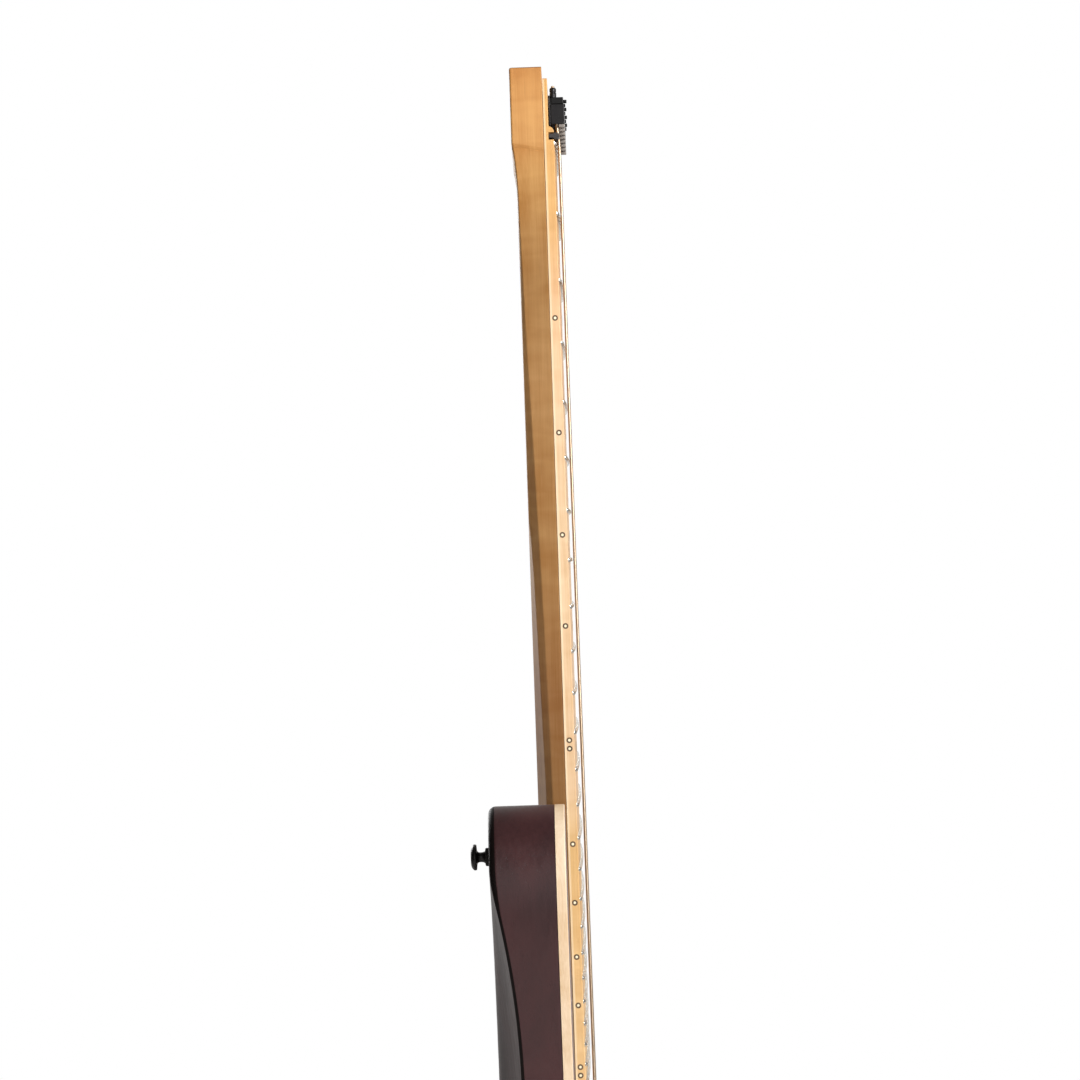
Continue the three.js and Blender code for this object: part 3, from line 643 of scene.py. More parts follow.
# The wound wire's warm brown is partly its own and partly painted reflection of the maple board.
WOUND_WIRE_AND_REFLECTION = Metal("wound_wire_and_painted_reflection", 0xB7A189, 0x84694F, metallic=1.0, roughness=0.34)
PLAIN_WIRE = Metal("plain_wire", 0xCFC9C0, 0xE2DDD4, metallic=1.0, roughness=0.22)
BLACK_PLASTIC = Moulded("black_plastic")
FELT = Moulded("button_felt", 0x1A1818, 0x262323, roughness=0.9, grain=0.00015, scale=900.0)
DOT_RING = Moulded("dot_ring", 0x4A3426, 0x6A5038, roughness=0.45)
DOT_CENTRE = Moulded("dot_centre", 0xF0E3BE, 0xFBF1D0, roughness=0.3)
FACE_DOT = Moulded("face_dot", 0x3A2C24, 0x54402F, roughness=0.35)
POINTER = Moulded("pointer", 0xE8E2D4, 0xF4EFE3, roughness=0.4)
FLOOR = Moulded("floor", 0xE6E4E1, 0xEFEDEA, roughness=0.7, grain=0.0001, scale=400.0)


# ---------------------------------------------------------------- pieces


@dataclass
class Piece:
    """One finished piece.

    The first finish is the piece's own; `paint` gives, from face centres and normals, the number of each
    face's finish. Cutters are taken out of the skin, and then its edges are bevelled.
    """

    name: str
    skin: Skin
    finishes: tuple[Finish, ...]
    slot: str
    body: str = "guitar"
    stands_for: tuple[str, ...] = ()
    bevel: float = 0.0
    crease: float = 38.0
    cutters: tuple[Skin, ...] = ()
    paint: Callable[[Array, Array], Array] | None = None

    def make(self) -> bpy.types.Object:
        """Builds the mesh, finishes its edges and shading, and hangs it on its body."""
        shape = self.raw(self.name, self.skin)
        for finish in self.finishes:
            shape.data.materials.append(finish.material())
        self.colour_faces(shape.data)
        tools = [self.raw(f"{self.name}_cutter", cutter) for cutter in self.cutters]
        for tool in tools:
            tool.data.materials.append(self.finishes[0].material())
            cut = shape.modifiers.new("cut", "BOOLEAN")
            cut.operation = "DIFFERENCE"
            cut.solver = "EXACT"
            cut.object = tool
        if self.bevel:
            edge = shape.modifiers.new("edge", "BEVEL")
            edge.width = self.bevel * MM
            edge.segments = 3
            edge.limit_method = "ANGLE"
            edge.angle_limit = math.radians(30)
        self.settle(shape)
        for tool in tools:
            bpy.data.objects.remove(tool)
        shape.data.shade_smooth()
        shape.data.set_sharp_from_angle(angle=math.radians(self.crease))
        shape.modifiers.new("even", "WEIGHTED_NORMAL").keep_sharp = True
        self.settle(shape)
        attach(shape, self.body)
        if self.stands_for:
            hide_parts(*self.stands_for)
        LOG.info("%s: %d faces, on %s", self.name, len(shape.data.polygons), self.body)
        return shape

    @staticmethod
    def raw(name: str, skin: Skin) -> bpy.types.Object:
        """An object from a skin, with its doubles merged and its faces turned outwards."""
        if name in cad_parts:
            name = f"{name}_skin"
        mesh = bpy.data.meshes.new(name)
        faces = [face for patch in skin.patches for face in patch.tolist()]
        mesh.from_pydata((skin.points + ORIGIN) * MM, [], faces)
        work = bmesh.new()
        work.from_mesh(mesh)
        bmesh.ops.remove_doubles(work, verts=work.verts, dist=1e-6)
        bmesh.ops.dissolve_degenerate(work, edges=work.edges, dist=1e-7)
        bmesh.ops.recalc_face_normals(work, faces=work.faces)
        work.to_mesh(mesh)
        work.free()
        shape = bpy.data.objects.new(name, mesh)
        bpy.context.scene.collection.objects.link(shape)
        return shape

    def colour_faces(self, mesh: bpy.types.Mesh) -> None:
        """Gives each face the number of its finish."""
        if self.paint is None:
            return
        count = len(mesh.polygons)
        centres, normals = np.empty(count * 3), np.empty(count * 3)
        mesh.polygons.foreach_get("center", centres)
        mesh.polygons.foreach_get("normal", normals)
        numbers = self.paint(centres.reshape(-1, 3) / MM - ORIGIN, normals.reshape(-1, 3))
        mesh.polygons.foreach_set("material_index", numbers.astype(np.int32))

    @staticmethod
    def settle(shape: bpy.types.Object) -> None:
        """Bakes the modifiers into the mesh."""
        graph = bpy.context.evaluated_depsgraph_get()
        baked = bpy.data.meshes.new_from_object(shape.evaluated_get(graph), preserve_all_data_layers=True,
                                                depsgraph=graph)
        old = shape.data
        shape.modifiers.clear()
        shape.data = baked
        bpy.data.meshes.remove(old)
        baked.name = shape.name


def dress_node(node: str, finish: Finish) -> None:
    """Gives a CAD node that stays as it is its own finish."""
    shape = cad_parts[node]
    for holder in shape.material_slots:
        holder.material = finish.material()
    LOG.info("%s keeps its shape", node)


# ---------------------------------------------------------------- neck


@dataclass
class Neck:
    """The neck: a square head block, a leaning step, and a back whose side facets widen towards the heel."""

    depth: float = 16.3
    head_depth: float = 18.5
    head_end: float = 272.5
    head_foot: float = 227.3
    head_round: float = 0.9
    head_proud: float = 0.4
    foot_proud: float = 0.6
    step: float = 1.2
    run_out: float = 22.0
    lean: float = -3.5
    heel: float = -222.0
    end: float = -294.0
    facet_top: float = 204.0
    facet_bottom: float = -133.0
    rear_start: float = 22.0
    block_start: float = -175.0
    glue_round: float = 0.25
    facet_round: float = 0.8
    channel_half: float = 3.2
    channel_top: float = 205.0
    channel_depth: float = 9.4
    ledge_end: float = 265.9

    def facet_corners(self, z: Array, half: Array, depth: Array) -> Array:
        """The four corners (y, x) of the faceted half section at each height, glue line first.

        The side facet ends 8.3 t + 5 t t (1 - t) + 0.4 over the back and the narrow facet behind it
        4.8 s to the 0.6 + 0.2, where t and s run from 0 to 1 down their own stretches of the neck. The narrow
        facet leans further back round z = 30 by 3.6 times a bell curve 60 mm wide.
        """
        t = np.clip((self.facet_top - z) / (self.facet_top - self.facet_bottom), 0, 1)
        s = np.clip((self.rear_start - z) / (self.rear_start - self.facet_bottom), 0, 1)
        side = 8.3 * t + 5 * t**2 * (1 - t) + 0.4
        rear = 4.8 * s**0.6 + 0.2
        inset = 12 - 3 * t + 3.6 * np.exp(-(((z - 30) / 60) ** 2))
        y = [half, half - 10 + 5.8 * t, half - inset, (half - 14) * (1 - t) + 5 * t]
        return np.stack([np.stack(y, -1), np.stack([0 * z, side - depth, rear - depth, -depth], -1)], -1)

    def block_corners(self, half: Array, depth: Array) -> Array:
        """The four corners (y, x) of the square half section, its back corner taken off in three points."""
        soften = 1.0
        y = [half, half, half - soften / 3, half - soften]
        x = [0 * depth, soften - depth, soften / 3 - depth, -depth]
        return np.stack([np.stack(y, -1), np.stack(x, -1)], -1)

    def heights(self) -> Array:
        """Heights of the sections from the head down, close together where the shape turns."""
        turn = np.linspace(0, np.pi / 2, 5)
        foot = self.head_foot
        return np.concatenate([
            self.head_end - self.head_round * (1 - np.cos(turn)),
            np.linspace(self.head_end - self.head_round, foot + 0.4, 12)[1:],
            np.linspace(foot + 0.2, foot - self.step, 8),
            np.linspace(foot - self.step, foot - self.run_out, 18)[1:],
            np.linspace(foot - self.run_out, self.end, 110)[1:],
        ])

    def skin(self) -> Skin:
        """Sections that pass from the square block to the facets and back to the square heel."""
        z = self.heights()
        foot, run = self.head_foot, self.head_foot - self.run_out
        inset = self.head_round - np.sqrt(np.maximum(
            self.head_round**2 - np.maximum(z - self.head_end + self.head_round, 0) ** 2, 0))
        fade = np.clip((z - run) / self.run_out, 0, 1)
        stations = [self.heel, self.block_start, foot - 77, foot - 59, foot - 42, foot - 22, foot - 9,
                    foot - self.step, foot + 0.2]
        square = np.interp(z, stations, [1, 0, 0, 0.08, 0.25, 0.5, 0.75, 0.9, 1])
        fan = fade * (2 - fade)
        lean = self.lean * np.where(z > foot, (self.head_end - z) / (self.head_end - foot), fade**2)
        head_half = LAYOUT.board_half(self.ledge_end) + self.head_proud
        proud = self.foot_proud * (self.head_end - z) / (self.head_end - foot)
        half = np.where(z > foot - self.step, head_half + proud, LAYOUT.board_half(z)) - inset
        depth = self.depth + (self.head_depth - self.depth) * fade**2 - inset
        corners = (self.facet_corners(z, np.minimum(half, LAYOUT.board_half(z)), depth)
                   * (1 - square)[:, None, None] + self.block_corners(half, depth) * square[:, None, None])
        low = corners * np.array([-1, 1])
        rounds = np.array([self.glue_round] + [self.facet_round] * 6 + [self.glue_round])
        section = eased(np.concatenate([low, corners[:, ::-1]], axis=1), rounds)
        y, x = section[..., 0], section[..., 1]
        slope = (LAYOUT.fan_slope(z) * fan)[:, None]
        return lofted(np.stack([x, y, z[:, None] + slope * y + lean[:, None] * x / self.head_depth], axis=-1))

    def build(self) -> None:
        """Makes the neck, with the truss rod's channel and the bolts' holes cut in it."""
        channel = slab([-self.channel_depth, -self.channel_half, self.end - 1],
                       [1, self.channel_half, self.channel_top])
        holes = [bolt_hole(number, 2.6, -self.depth - 1, -2.5) for number in range(1, 5)]
        Piece("neck", self.skin(), (NECK_MAPLE_AND_PAINTED_LIGHT,), "neck_maple", stands_for=("neck",), crease=50,
              cutters=(channel, *holes)).make()
        dress_node("truss_rod", STEEL)
        self.build_wheel()

    def build_wheel(self) -> None:
        """Makes the truss rod's wheel, its rim drilled all round for a pin."""
        low, high = maker_box("truss_rod_wheel")
        centre = (low + high) / 2
        radius = (high[1] - low[1]) / 2
        half = (high[2] - low[2]) / 2
        corners = [[0, -half], [radius, -half], [radius, half], [0, half]]
        profile = eased(corners, [0, 0.7, 0.7, 0], closed=False)
        around = np.arange(6) * np.pi / 3
        holes = tuple(
            tube_between(centre + 3.4 * spoke, centre + (radius + 1) * spoke, 1.1)
            for spoke in np.stack([np.cos(around), np.sin(around), 0 * around], axis=1))
        Piece("truss_rod_wheel", turned(profile, Axis.Z, centre, 64), (STEEL,), "steel", "truss_rod_wheel",
              ("truss_rod_wheel",), cutters=holes).make()


def tube_between(start: Array, end: Array, radius: float, sides: int = 16) -> Skin:
    """A straight rod between two points."""
    way = (end - start) / np.linalg.norm(end - start)
    across = np.cross(way, [0.0, 0.0, 1.0] if abs(way[2]) < 0.9 else [1.0, 0.0, 0.0])
    across = across / np.linalg.norm(across)
    angle = np.arange(sides)[:, None] * 2 * np.pi / sides
    circle = radius * (np.cos(angle) * across + np.sin(angle) * np.cross(way, across))
    return lofted(np.stack([start + circle, end + circle]))


def bolt_hole(number: int, radius: float, start: float, end: float) -> Skin:
    """A hole along x round a neck bolt."""
    centre = maker_box(f"neck_bolt_{number}").mean(axis=0)
    profile = [[0, start], [radius, start], [radius, end], [0, end]]
    return turned(np.array(profile), Axis.X, centre * np.array([0, 1, 1]), 32)


# ---------------------------------------------------------------- fingerboard and frets


@dataclass
class Fingerboard:
    """The board with its ledge for the string locks, its frets, its dots and the nut bar."""

    ledge: float = 3.0
    ledge_end: float = 265.9
    ledge_foot: float = 239.5
    shoulder: float = 236.6
    overhang: float = 5.6
    edge_round: float = 0.4
    bar_low: float = 232.4
    bar_high: float = 236.0
    bar_bottom: float = 3.1
    fret_width: float = 2.6
    fret_bevel: float = 1.3
    dot_frets: tuple[int, ...] = (3, 5, 7, 9, 12, 15, 17, 19, 21, 24)
    double_frets: tuple[int, ...] = (12, 24)
    side_dot: float = 1.65
    side_dot_centre: float = 0.78
    side_dot_pitch: float = 4.8
    side_dot_clear: float = 1.9
    side_dot_lift: float = 0.7
    face_dot: float = 3.0

    def stations(self) -> Array:
        """Rows of height, edge height and crown share from the head end down; the nut's slot is two steps."""
        turn = np.linspace(0, np.pi / 2, 12)
        rise = LAYOUT.board_edge - self.ledge
        drop = (self.ledge_foot - self.shoulder) * (1 - np.cos(turn))
        round_end = np.stack([self.ledge_foot - drop, self.ledge + rise * np.sin(turn),
                              turn / (np.pi / 2)], 1)
        head = np.array([[z, self.ledge, 0] for z in np.linspace(self.ledge_end, self.ledge_foot + 0.5, 8)])
        high, low = self.bar_high + LAYOUT.gap, self.bar_low - LAYOUT.gap
        floor = self.bar_bottom - LAYOUT.gap
        slot = np.array([[high, LAYOUT.board_edge, 1], [high - 0.01, floor, 0], [low + 0.01, floor, 0],
                         [low, LAYOUT.board_edge, 1]])
        tail = LAYOUT.fret_z(LAYOUT.last_fret) - self.overhang
        face = np.array([[z, LAYOUT.board_edge, 1] for z in np.linspace(low - 1, tail, 60)])
        return np.vstack([head, round_end, slot, face])

    def board_skin(self) -> Skin:
        """Sections with a flat glue face, upright sides, edges eased by a quarter circle, a crowned face."""
        z, edge, share = self.stations().T
        half = LAYOUT.board_half(z)[:, None]
        near = np.array([0, 0.04, 0.12, 0.24, 0.4])
        middle = np.linspace(-1, 1, 23)[1:-1]
        y = np.concatenate([-half + near * self.edge_round / 0.4, middle * (half - self.edge_round),
                            (half - near * self.edge_round / 0.4)[:, ::-1]], axis=1)
        depth = np.clip(half - np.abs(y), 0, self.edge_round)
        drop = self.edge_round - np.sqrt(self.edge_round**2 - (self.edge_round - depth) ** 2)
        x = edge[:, None] + share[:, None] * LAYOUT.crown(half, y) - drop
        y = np.concatenate([y, half, -half], axis=1)
        x = np.concatenate([x, LAYOUT.gap + 0 * half, LAYOUT.gap + 0 * half], axis=1)
        return lofted(np.stack([x, y, LAYOUT.fanned(z[:, None], y)], axis=-1))

    def fret_skin(self, z: float) -> Skin:
        """A fret: a half ellipse carried over the crown, let down to the board over its bevelled ends."""
        half = float(LAYOUT.board_half(z)) - 0.12
        ends = half - self.fret_bevel * np.linspace(0, 1, 7) ** 1.5
        y = np.concatenate([-ends, np.linspace(-1, 1, 15)[1:-1] * ends[-1], ends[::-1]])[:, None]
        swell = np.clip((half - np.abs(y)) / self.fret_bevel, 0, 1) ** 0.55
        angle = np.linspace(0, np.pi, 11)[None, :]
        height = LAYOUT.fret_height * np.sin(angle) * (0.12 + 0.88 * swell)
        foot = LAYOUT.board_top(y, z) + 0.02
        along = -np.cos(angle) * self.fret_width / 2 * (0.7 + 0.3 * swell)
        x = foot + height
        return lofted(np.stack([x, y + 0 * x, LAYOUT.fanned(z, y) + along], axis=-1))

    def dot_places(self) -> list[tuple[int, float, int]]:
        """Fret, height on the low side, and number of dots, for each marked fret.

        A dot stands a little above the middle of its space on the centreline, but never closer to the
        low end of the fret above it than its own ring allows.
        """
        places = []
        for fret in self.dot_frets:
            above, below = LAYOUT.fret_z(np.array([fret - 1, fret]))
            count = 2 if fret in self.double_frets else 1
            side_end = LAYOUT.fanned(above, -LAYOUT.board_half(above))
            clear = self.side_dot_clear + (count - 1) * (self.side_dot_pitch / 2 - 0.65)
            middle = (above + below) / 2 + self.side_dot_lift
            places.append((fret, float(min(middle, side_end - clear)), count))
        return places

    def build(self) -> None:
        """Makes the board, frets, dots and nut bar."""
        Piece("fingerboard", self.board_skin(), (BOARD_MAPLE_AND_PAINTED_LIGHT,), "board_maple",
              stands_for=("fingerboard",)).make()
        Piece("zero_fret", self.fret_skin(LAYOUT.zero_z), (FRET_METAL,), "fret_metal",
              stands_for=("zero_fret",)).make()
        for fret in range(1, LAYOUT.last_fret + 1):
            Piece(f"fret_{fret:02d}", self.fret_skin(float(LAYOUT.fret_z(fret))), (FRET_METAL,),
                  "fret_metal").make()
        self.build_side_dots()
        self.build_face_dots()
        self.build_nut_bar()

    @staticmethod
    def side_half(z: float) -> float:
        """Half width of the board where its low side stands at height z, found by sliding up the fan."""
        middle = z
        for _ in range(4):
            half = float(LAYOUT.board_half(middle))
            middle = z + float(LAYOUT.fan_slope(middle)) * half
        return half

    def build_side_dots(self) -> None:
        """Makes the dark rings and pale centres let into the low edge of the board."""
        rings, centres = [], []
        for _, middle, count in self.dot_places():
            for number in range(count):
                z = middle + self.side_dot_pitch * ((count - 1) / 2 - number)
                spot = np.array([(LAYOUT.board_edge + LAYOUT.gap) / 2, -self.side_half(z), z])
                inner, outer = self.side_dot_centre, self.side_dot
                ring = [[inner, -0.4], [outer, -0.4], [outer, 0.03], [outer - 0.05, 0.07], [inner, 0.07]]
                disc = [[0, -0.4], [inner, -0.4], [inner, 0.05], [inner * 0.7, 0.09], [0, 0.1]]
                rings.append(turned(np.array(ring), Axis.Y, spot, 32, -1, looped=True))
                centres.append(turned(np.array(disc), Axis.Y, spot, 32, -1))
        Piece("side_dot_rings", joined(rings), (DOT_RING,), "black_plastic").make()
        Piece("side_dots", joined(centres), (DOT_CENTRE,), "black_plastic").make()

    def build_face_dots(self) -> None:
        """Makes the round dots on the playing face, in pairs at the octaves."""
        dots = []
        for fret in self.dot_frets:
            above, below = LAYOUT.fret_z(np.array([fret - 1, fret]))
            for y in ([-14.0, 14.0] if fret in self.double_frets else [0.0]):
                z = (above + below) / 2
                spot = [float(LAYOUT.board_top(y, z)), y, float(LAYOUT.fanned(z, y))]
                profile = [[0, -0.5], [self.face_dot, -0.5], [self.face_dot, 0.06], [0, 0.1]]
                dots.append(turned(np.array(profile), Axis.X, spot, 40))
        Piece("face_dots", joined(dots), (FACE_DOT,), "black_plastic").make()

    def build_nut_bar(self) -> None:
        """Makes the bar behind the zero fret: a thin web, a round bead in front, notches for the strings."""
        web_low, middle, high = self.bar_low + 0.9, self.bar_low + 1.7, self.bar_high
        corners = [[self.bar_bottom, web_low], [5.6, web_low], [6.0, self.bar_low], [8.3, self.bar_low - 0.2],
                   [9.2, middle], [8.3, high + 0.1], [6.0, high], [5.8, high - 0.5],
                   [self.bar_bottom, high - 0.5]]
        profile = eased(corners, 0.6, 5)
        half = float(LAYOUT.board_half(self.bar_low)) - 0.2
        across = np.linspace(-half, half, 9)
        skin = swept(profile, across, lambda y, along: along + LAYOUT.fan_slope(self.bar_low) * y)
        notches = tuple(
            tube(string_path(index), radius + 0.15, 16) for index, radius in enumerate(STRING_RADII))
        Piece("nut_bar", skin, (GREY_METAL,), "grey_metal", stands_for=("nut_bar",), cutters=notches,
              crease=30).make()


def joined(skins: list[Skin]) -> Skin:
    """Several skins as one."""
    total = skins[0]
    for skin in skins[1:]:
        total = total + skin
    return total


# ---------------------------------------------------------------- strings


STRING_RADII = (1.02, 0.79, 0.585, 0.43, 0.305, 0.205, 0.14, 0.13)


def string_path(index: int) -> Array:
    """A string's centre line: lock mouth, zero fret, saddle, and its end under the bridge's hood."""
    radius = STRING_RADII[index]
    y_zero, y_saddle = (float(LAYOUT.string_y(index, z)) for z in (LAYOUT.zero_z, LAYOUT.saddle_z))
    z_zero = float(LAYOUT.fanned(LAYOUT.zero_z, y_zero))
    z_saddle = float(LAYOUT.fanned(LAYOUT.saddle_z, y_saddle))
    crest = LAYOUT.saddle_crest(y_saddle)
    lock = maker_box(f"string_lock_{LAYOUT.string_count - index}")
    return np.array([
        [7.6, y_zero, lock[0, 2] + 1.5],
        [float(LAYOUT.board_top(y_zero, LAYOUT.zero_z)) + LAYOUT.fret_height + LAYOUT.touch + radius,
         y_zero, z_zero],
        [crest + LAYOUT.touch + radius, y_saddle, z_saddle],
        [crest - 5 + radius, float(LAYOUT.string_y(index, LAYOUT.saddle_z - 10)), z_saddle - 13],
    ])


@dataclass
class Strings:
    """Eight strings: the five lowest wound, so that their surface is a fine helix, and the others plain."""

    wound: int = 5
    pitch: float = 0.56
    wrap_depth: float = 0.09
    bend: float = 2.5

    def skin(self, index: int) -> Skin:
        """A wire along the string's path, its radius rippled by depth times cos(2 pi s / pitch + angle)."""
        radius = STRING_RADII[index]
        path = eased(string_path(index), self.bend, 9, closed=False)
        if index >= self.wound:
            points, _ = resampled(path, 4.0)
            return tube(points, radius, 12)
        sides = 8
        pitch = self.pitch * (0.7 + 0.3 * radius)
        points, distance = resampled(path, pitch / 3)
        angle = (np.arange(sides) + 0.5) * 2 * np.pi / sides
        wave = np.cos(2 * np.pi * distance[:, None] / pitch + angle[None, :])
        return tube(points, radius * (1 + self.wrap_depth * (wave - 1) / 2), sides)

    def build(self) -> None:
        """Makes the strings."""
        for index in range(LAYOUT.string_count):
            number = LAYOUT.string_count - index
            finish = WOUND_WIRE_AND_REFLECTION if index < self.wound else PLAIN_WIRE
            Piece(f"string_{number}", self.skin(index), (finish,), "string_wire",
                  stands_for=(f"string_{number}",),
                  crease=75).make()


@dataclass
class StringLocks:
    """One clamp for each string on the head: base plate, block, jaw, rear barrel and clamp screw."""

    plate_thick: float = 1.0
    seam: float = 0.25
    jaw: float = 3.9
    barrel: float = 1.9
    barrel_x: float = 6.1
    barrel_length: float = 5.7
    front_drop: float = 1.0
    nose_x: float = 8.75
    nose: float = 1.9
    screw: float = 1.05
    screw_back: float = 2.5
    screw_proud: tuple[float, ...] = (1.9, 1.1, 1.6, 0.9, 1.7, 1.1, 1.5, 1.0)
    tail: float = 0.9

    def build(self) -> None:
        """Makes the eight locks."""
        for index in range(LAYOUT.string_count):
            self.build_one(index)

    def build_one(self, index: int) -> None:
        """Makes one lock inside its CAD node's box."""
        number = LAYOUT.string_count - index
        low, high = maker_box(f"string_lock_{number}")
        y, half = (low[1] + high[1]) / 2, (high[1] - low[1]) / 2
        front = high[0] - self.front_drop
        start, end = low[2] + 0.6, high[2] - self.barrel_length
        name = f"lock_{number}"
        plate_top = low[0] + self.plate_thick
        Piece(f"{name}_plate", slab([low[0], y - half, low[2]], [plate_top, y + half, end + 1.1]),
              (BLACK_METAL,), "black_metal", stands_for=(f"string_lock_{number}",), bevel=0.25).make()
        block_low = plate_top + self.seam
        wide = half - 0.1
        core = slab([plate_top - 0.1, y - wide + 0.5, start + 0.5],
                    [block_low + 0.5, y + wide - 0.5, end - 0.5])
        Piece(f"{name}_foot", core, (JAW_METAL,), "black_metal").make()
        jaw_start = end - self.jaw
        mouth = tube(string_path(index), STRING_RADII[index] + 0.12, 16)
        seat = np.array([front - 0.35, y, end - self.screw_back])
        bore = turned(np.array([[0, -4.0], [1.25, -4.0], [1.25, 1], [0, 1]]), Axis.X, seat, 24)
        Piece(f"{name}_block", slab([block_low, y - wide, start], [front, y + wide, jaw_start]),
              (BLACK_METAL,), "black_metal", bevel=0.3, cutters=(mouth,)).make()
        Piece(f"{name}_jaw", slab([block_low + 0.3, y - wide + 0.15, jaw_start + 0.12],
                                  [front - 0.35, y + wide - 0.15, end]),
              (JAW_METAL,), "black_metal", bevel=0.4, cutters=(bore,)).make()
        # The nose's pale grey is a painted reflection.
        Piece(f"{name}_nose", slab([self.nose_x, y - wide + 0.1, start - self.nose],
                                   [front + 0.1, y + wide - 0.1, start - 0.05]),
              (NOSE_PAINTED_REFLECTION,), "grey_metal", bevel=0.4).make()
        self.build_barrel(name, y, end, number)
        self.build_screw(name, seat, self.screw_proud[index])

    def build_barrel(self, name: str, y: float, start: float, number: int) -> None:
        """Makes the rear barrel with a slanted collar, and the cut end of the string in it."""
        r, length = self.barrel, self.barrel_length
        corners = [[0, -0.5], [r, -0.5], [r, length * 0.35], [r - 0.25, length * 0.4],
                   [r - 0.25, length * 0.5],
                   [r, length * 0.55], [r, length - 0.8], [r - 0.8, length], [0, length]]
        spot = [self.barrel_x, y, start]
        Piece(f"{name}_barrel", turned(eased(corners, 0.15, 4, closed=False), Axis.Z, spot, 40),
              (BLACK_METAL,), "black_metal").make()
        wire = STRING_RADII[LAYOUT.string_count - number] * 0.8 + 0.1
        stub = [[0, length - 0.5], [wire, length - 0.5], [wire, length + self.tail * 0.8],
                [wire * 0.6, length + self.tail], [0, length + self.tail]]
        Piece(f"{name}_tail", turned(np.array(stub), Axis.Z, spot, 16), (WOUND_WIRE_AND_REFLECTION,), "string_wire").make()

    def build_screw(self, name: str, seat: Array, proud: float) -> None:
        """Makes the clamp screw, with a hexagon socket in its head."""
        r = self.screw
        corners = [[0, -3.5], [r, -3.5], [r, proud], [0, proud]]
        skin = turned(eased(corners, [0, 0, 0.35, 0], 5, closed=False), Axis.X, seat, 36)
        socket = hex_socket(seat + np.array([proud, 0, 0]), Axis.X, r * 0.58, 1.2)
        Piece(f"{name}_screw", skin, (JAW_METAL,), "black_metal", cutters=(socket,), crease=30).make()


# ---------------------------------------------------------------- body


OUTLINE = np.array([
    [-108, -132.8], [-132, -156.6], [-134, -203], [-120, -262], [-106, -325], [-118, -388], [-152, -440],
    [-166, -492], [-146, -536], [-98, -556], [-30, -552], [40, -541], [98, -532], [143, -506], [158, -462],
    [146, -410], [112, -352], [103, -300], [112, -248], [118, -205], [104, -176], [80, -190], [66, -228],
    [44, -252], [0, -240], [-44, -238], [-62, -214], [-76, -166], [-90, -135.8],
], float)
CAVITY = np.array([
    [60, -400], [58, -436], [62, -474], [88, -506], [126, -504], [142, -466], [134, -420], [114, -359],
    [82, -350],
], float)


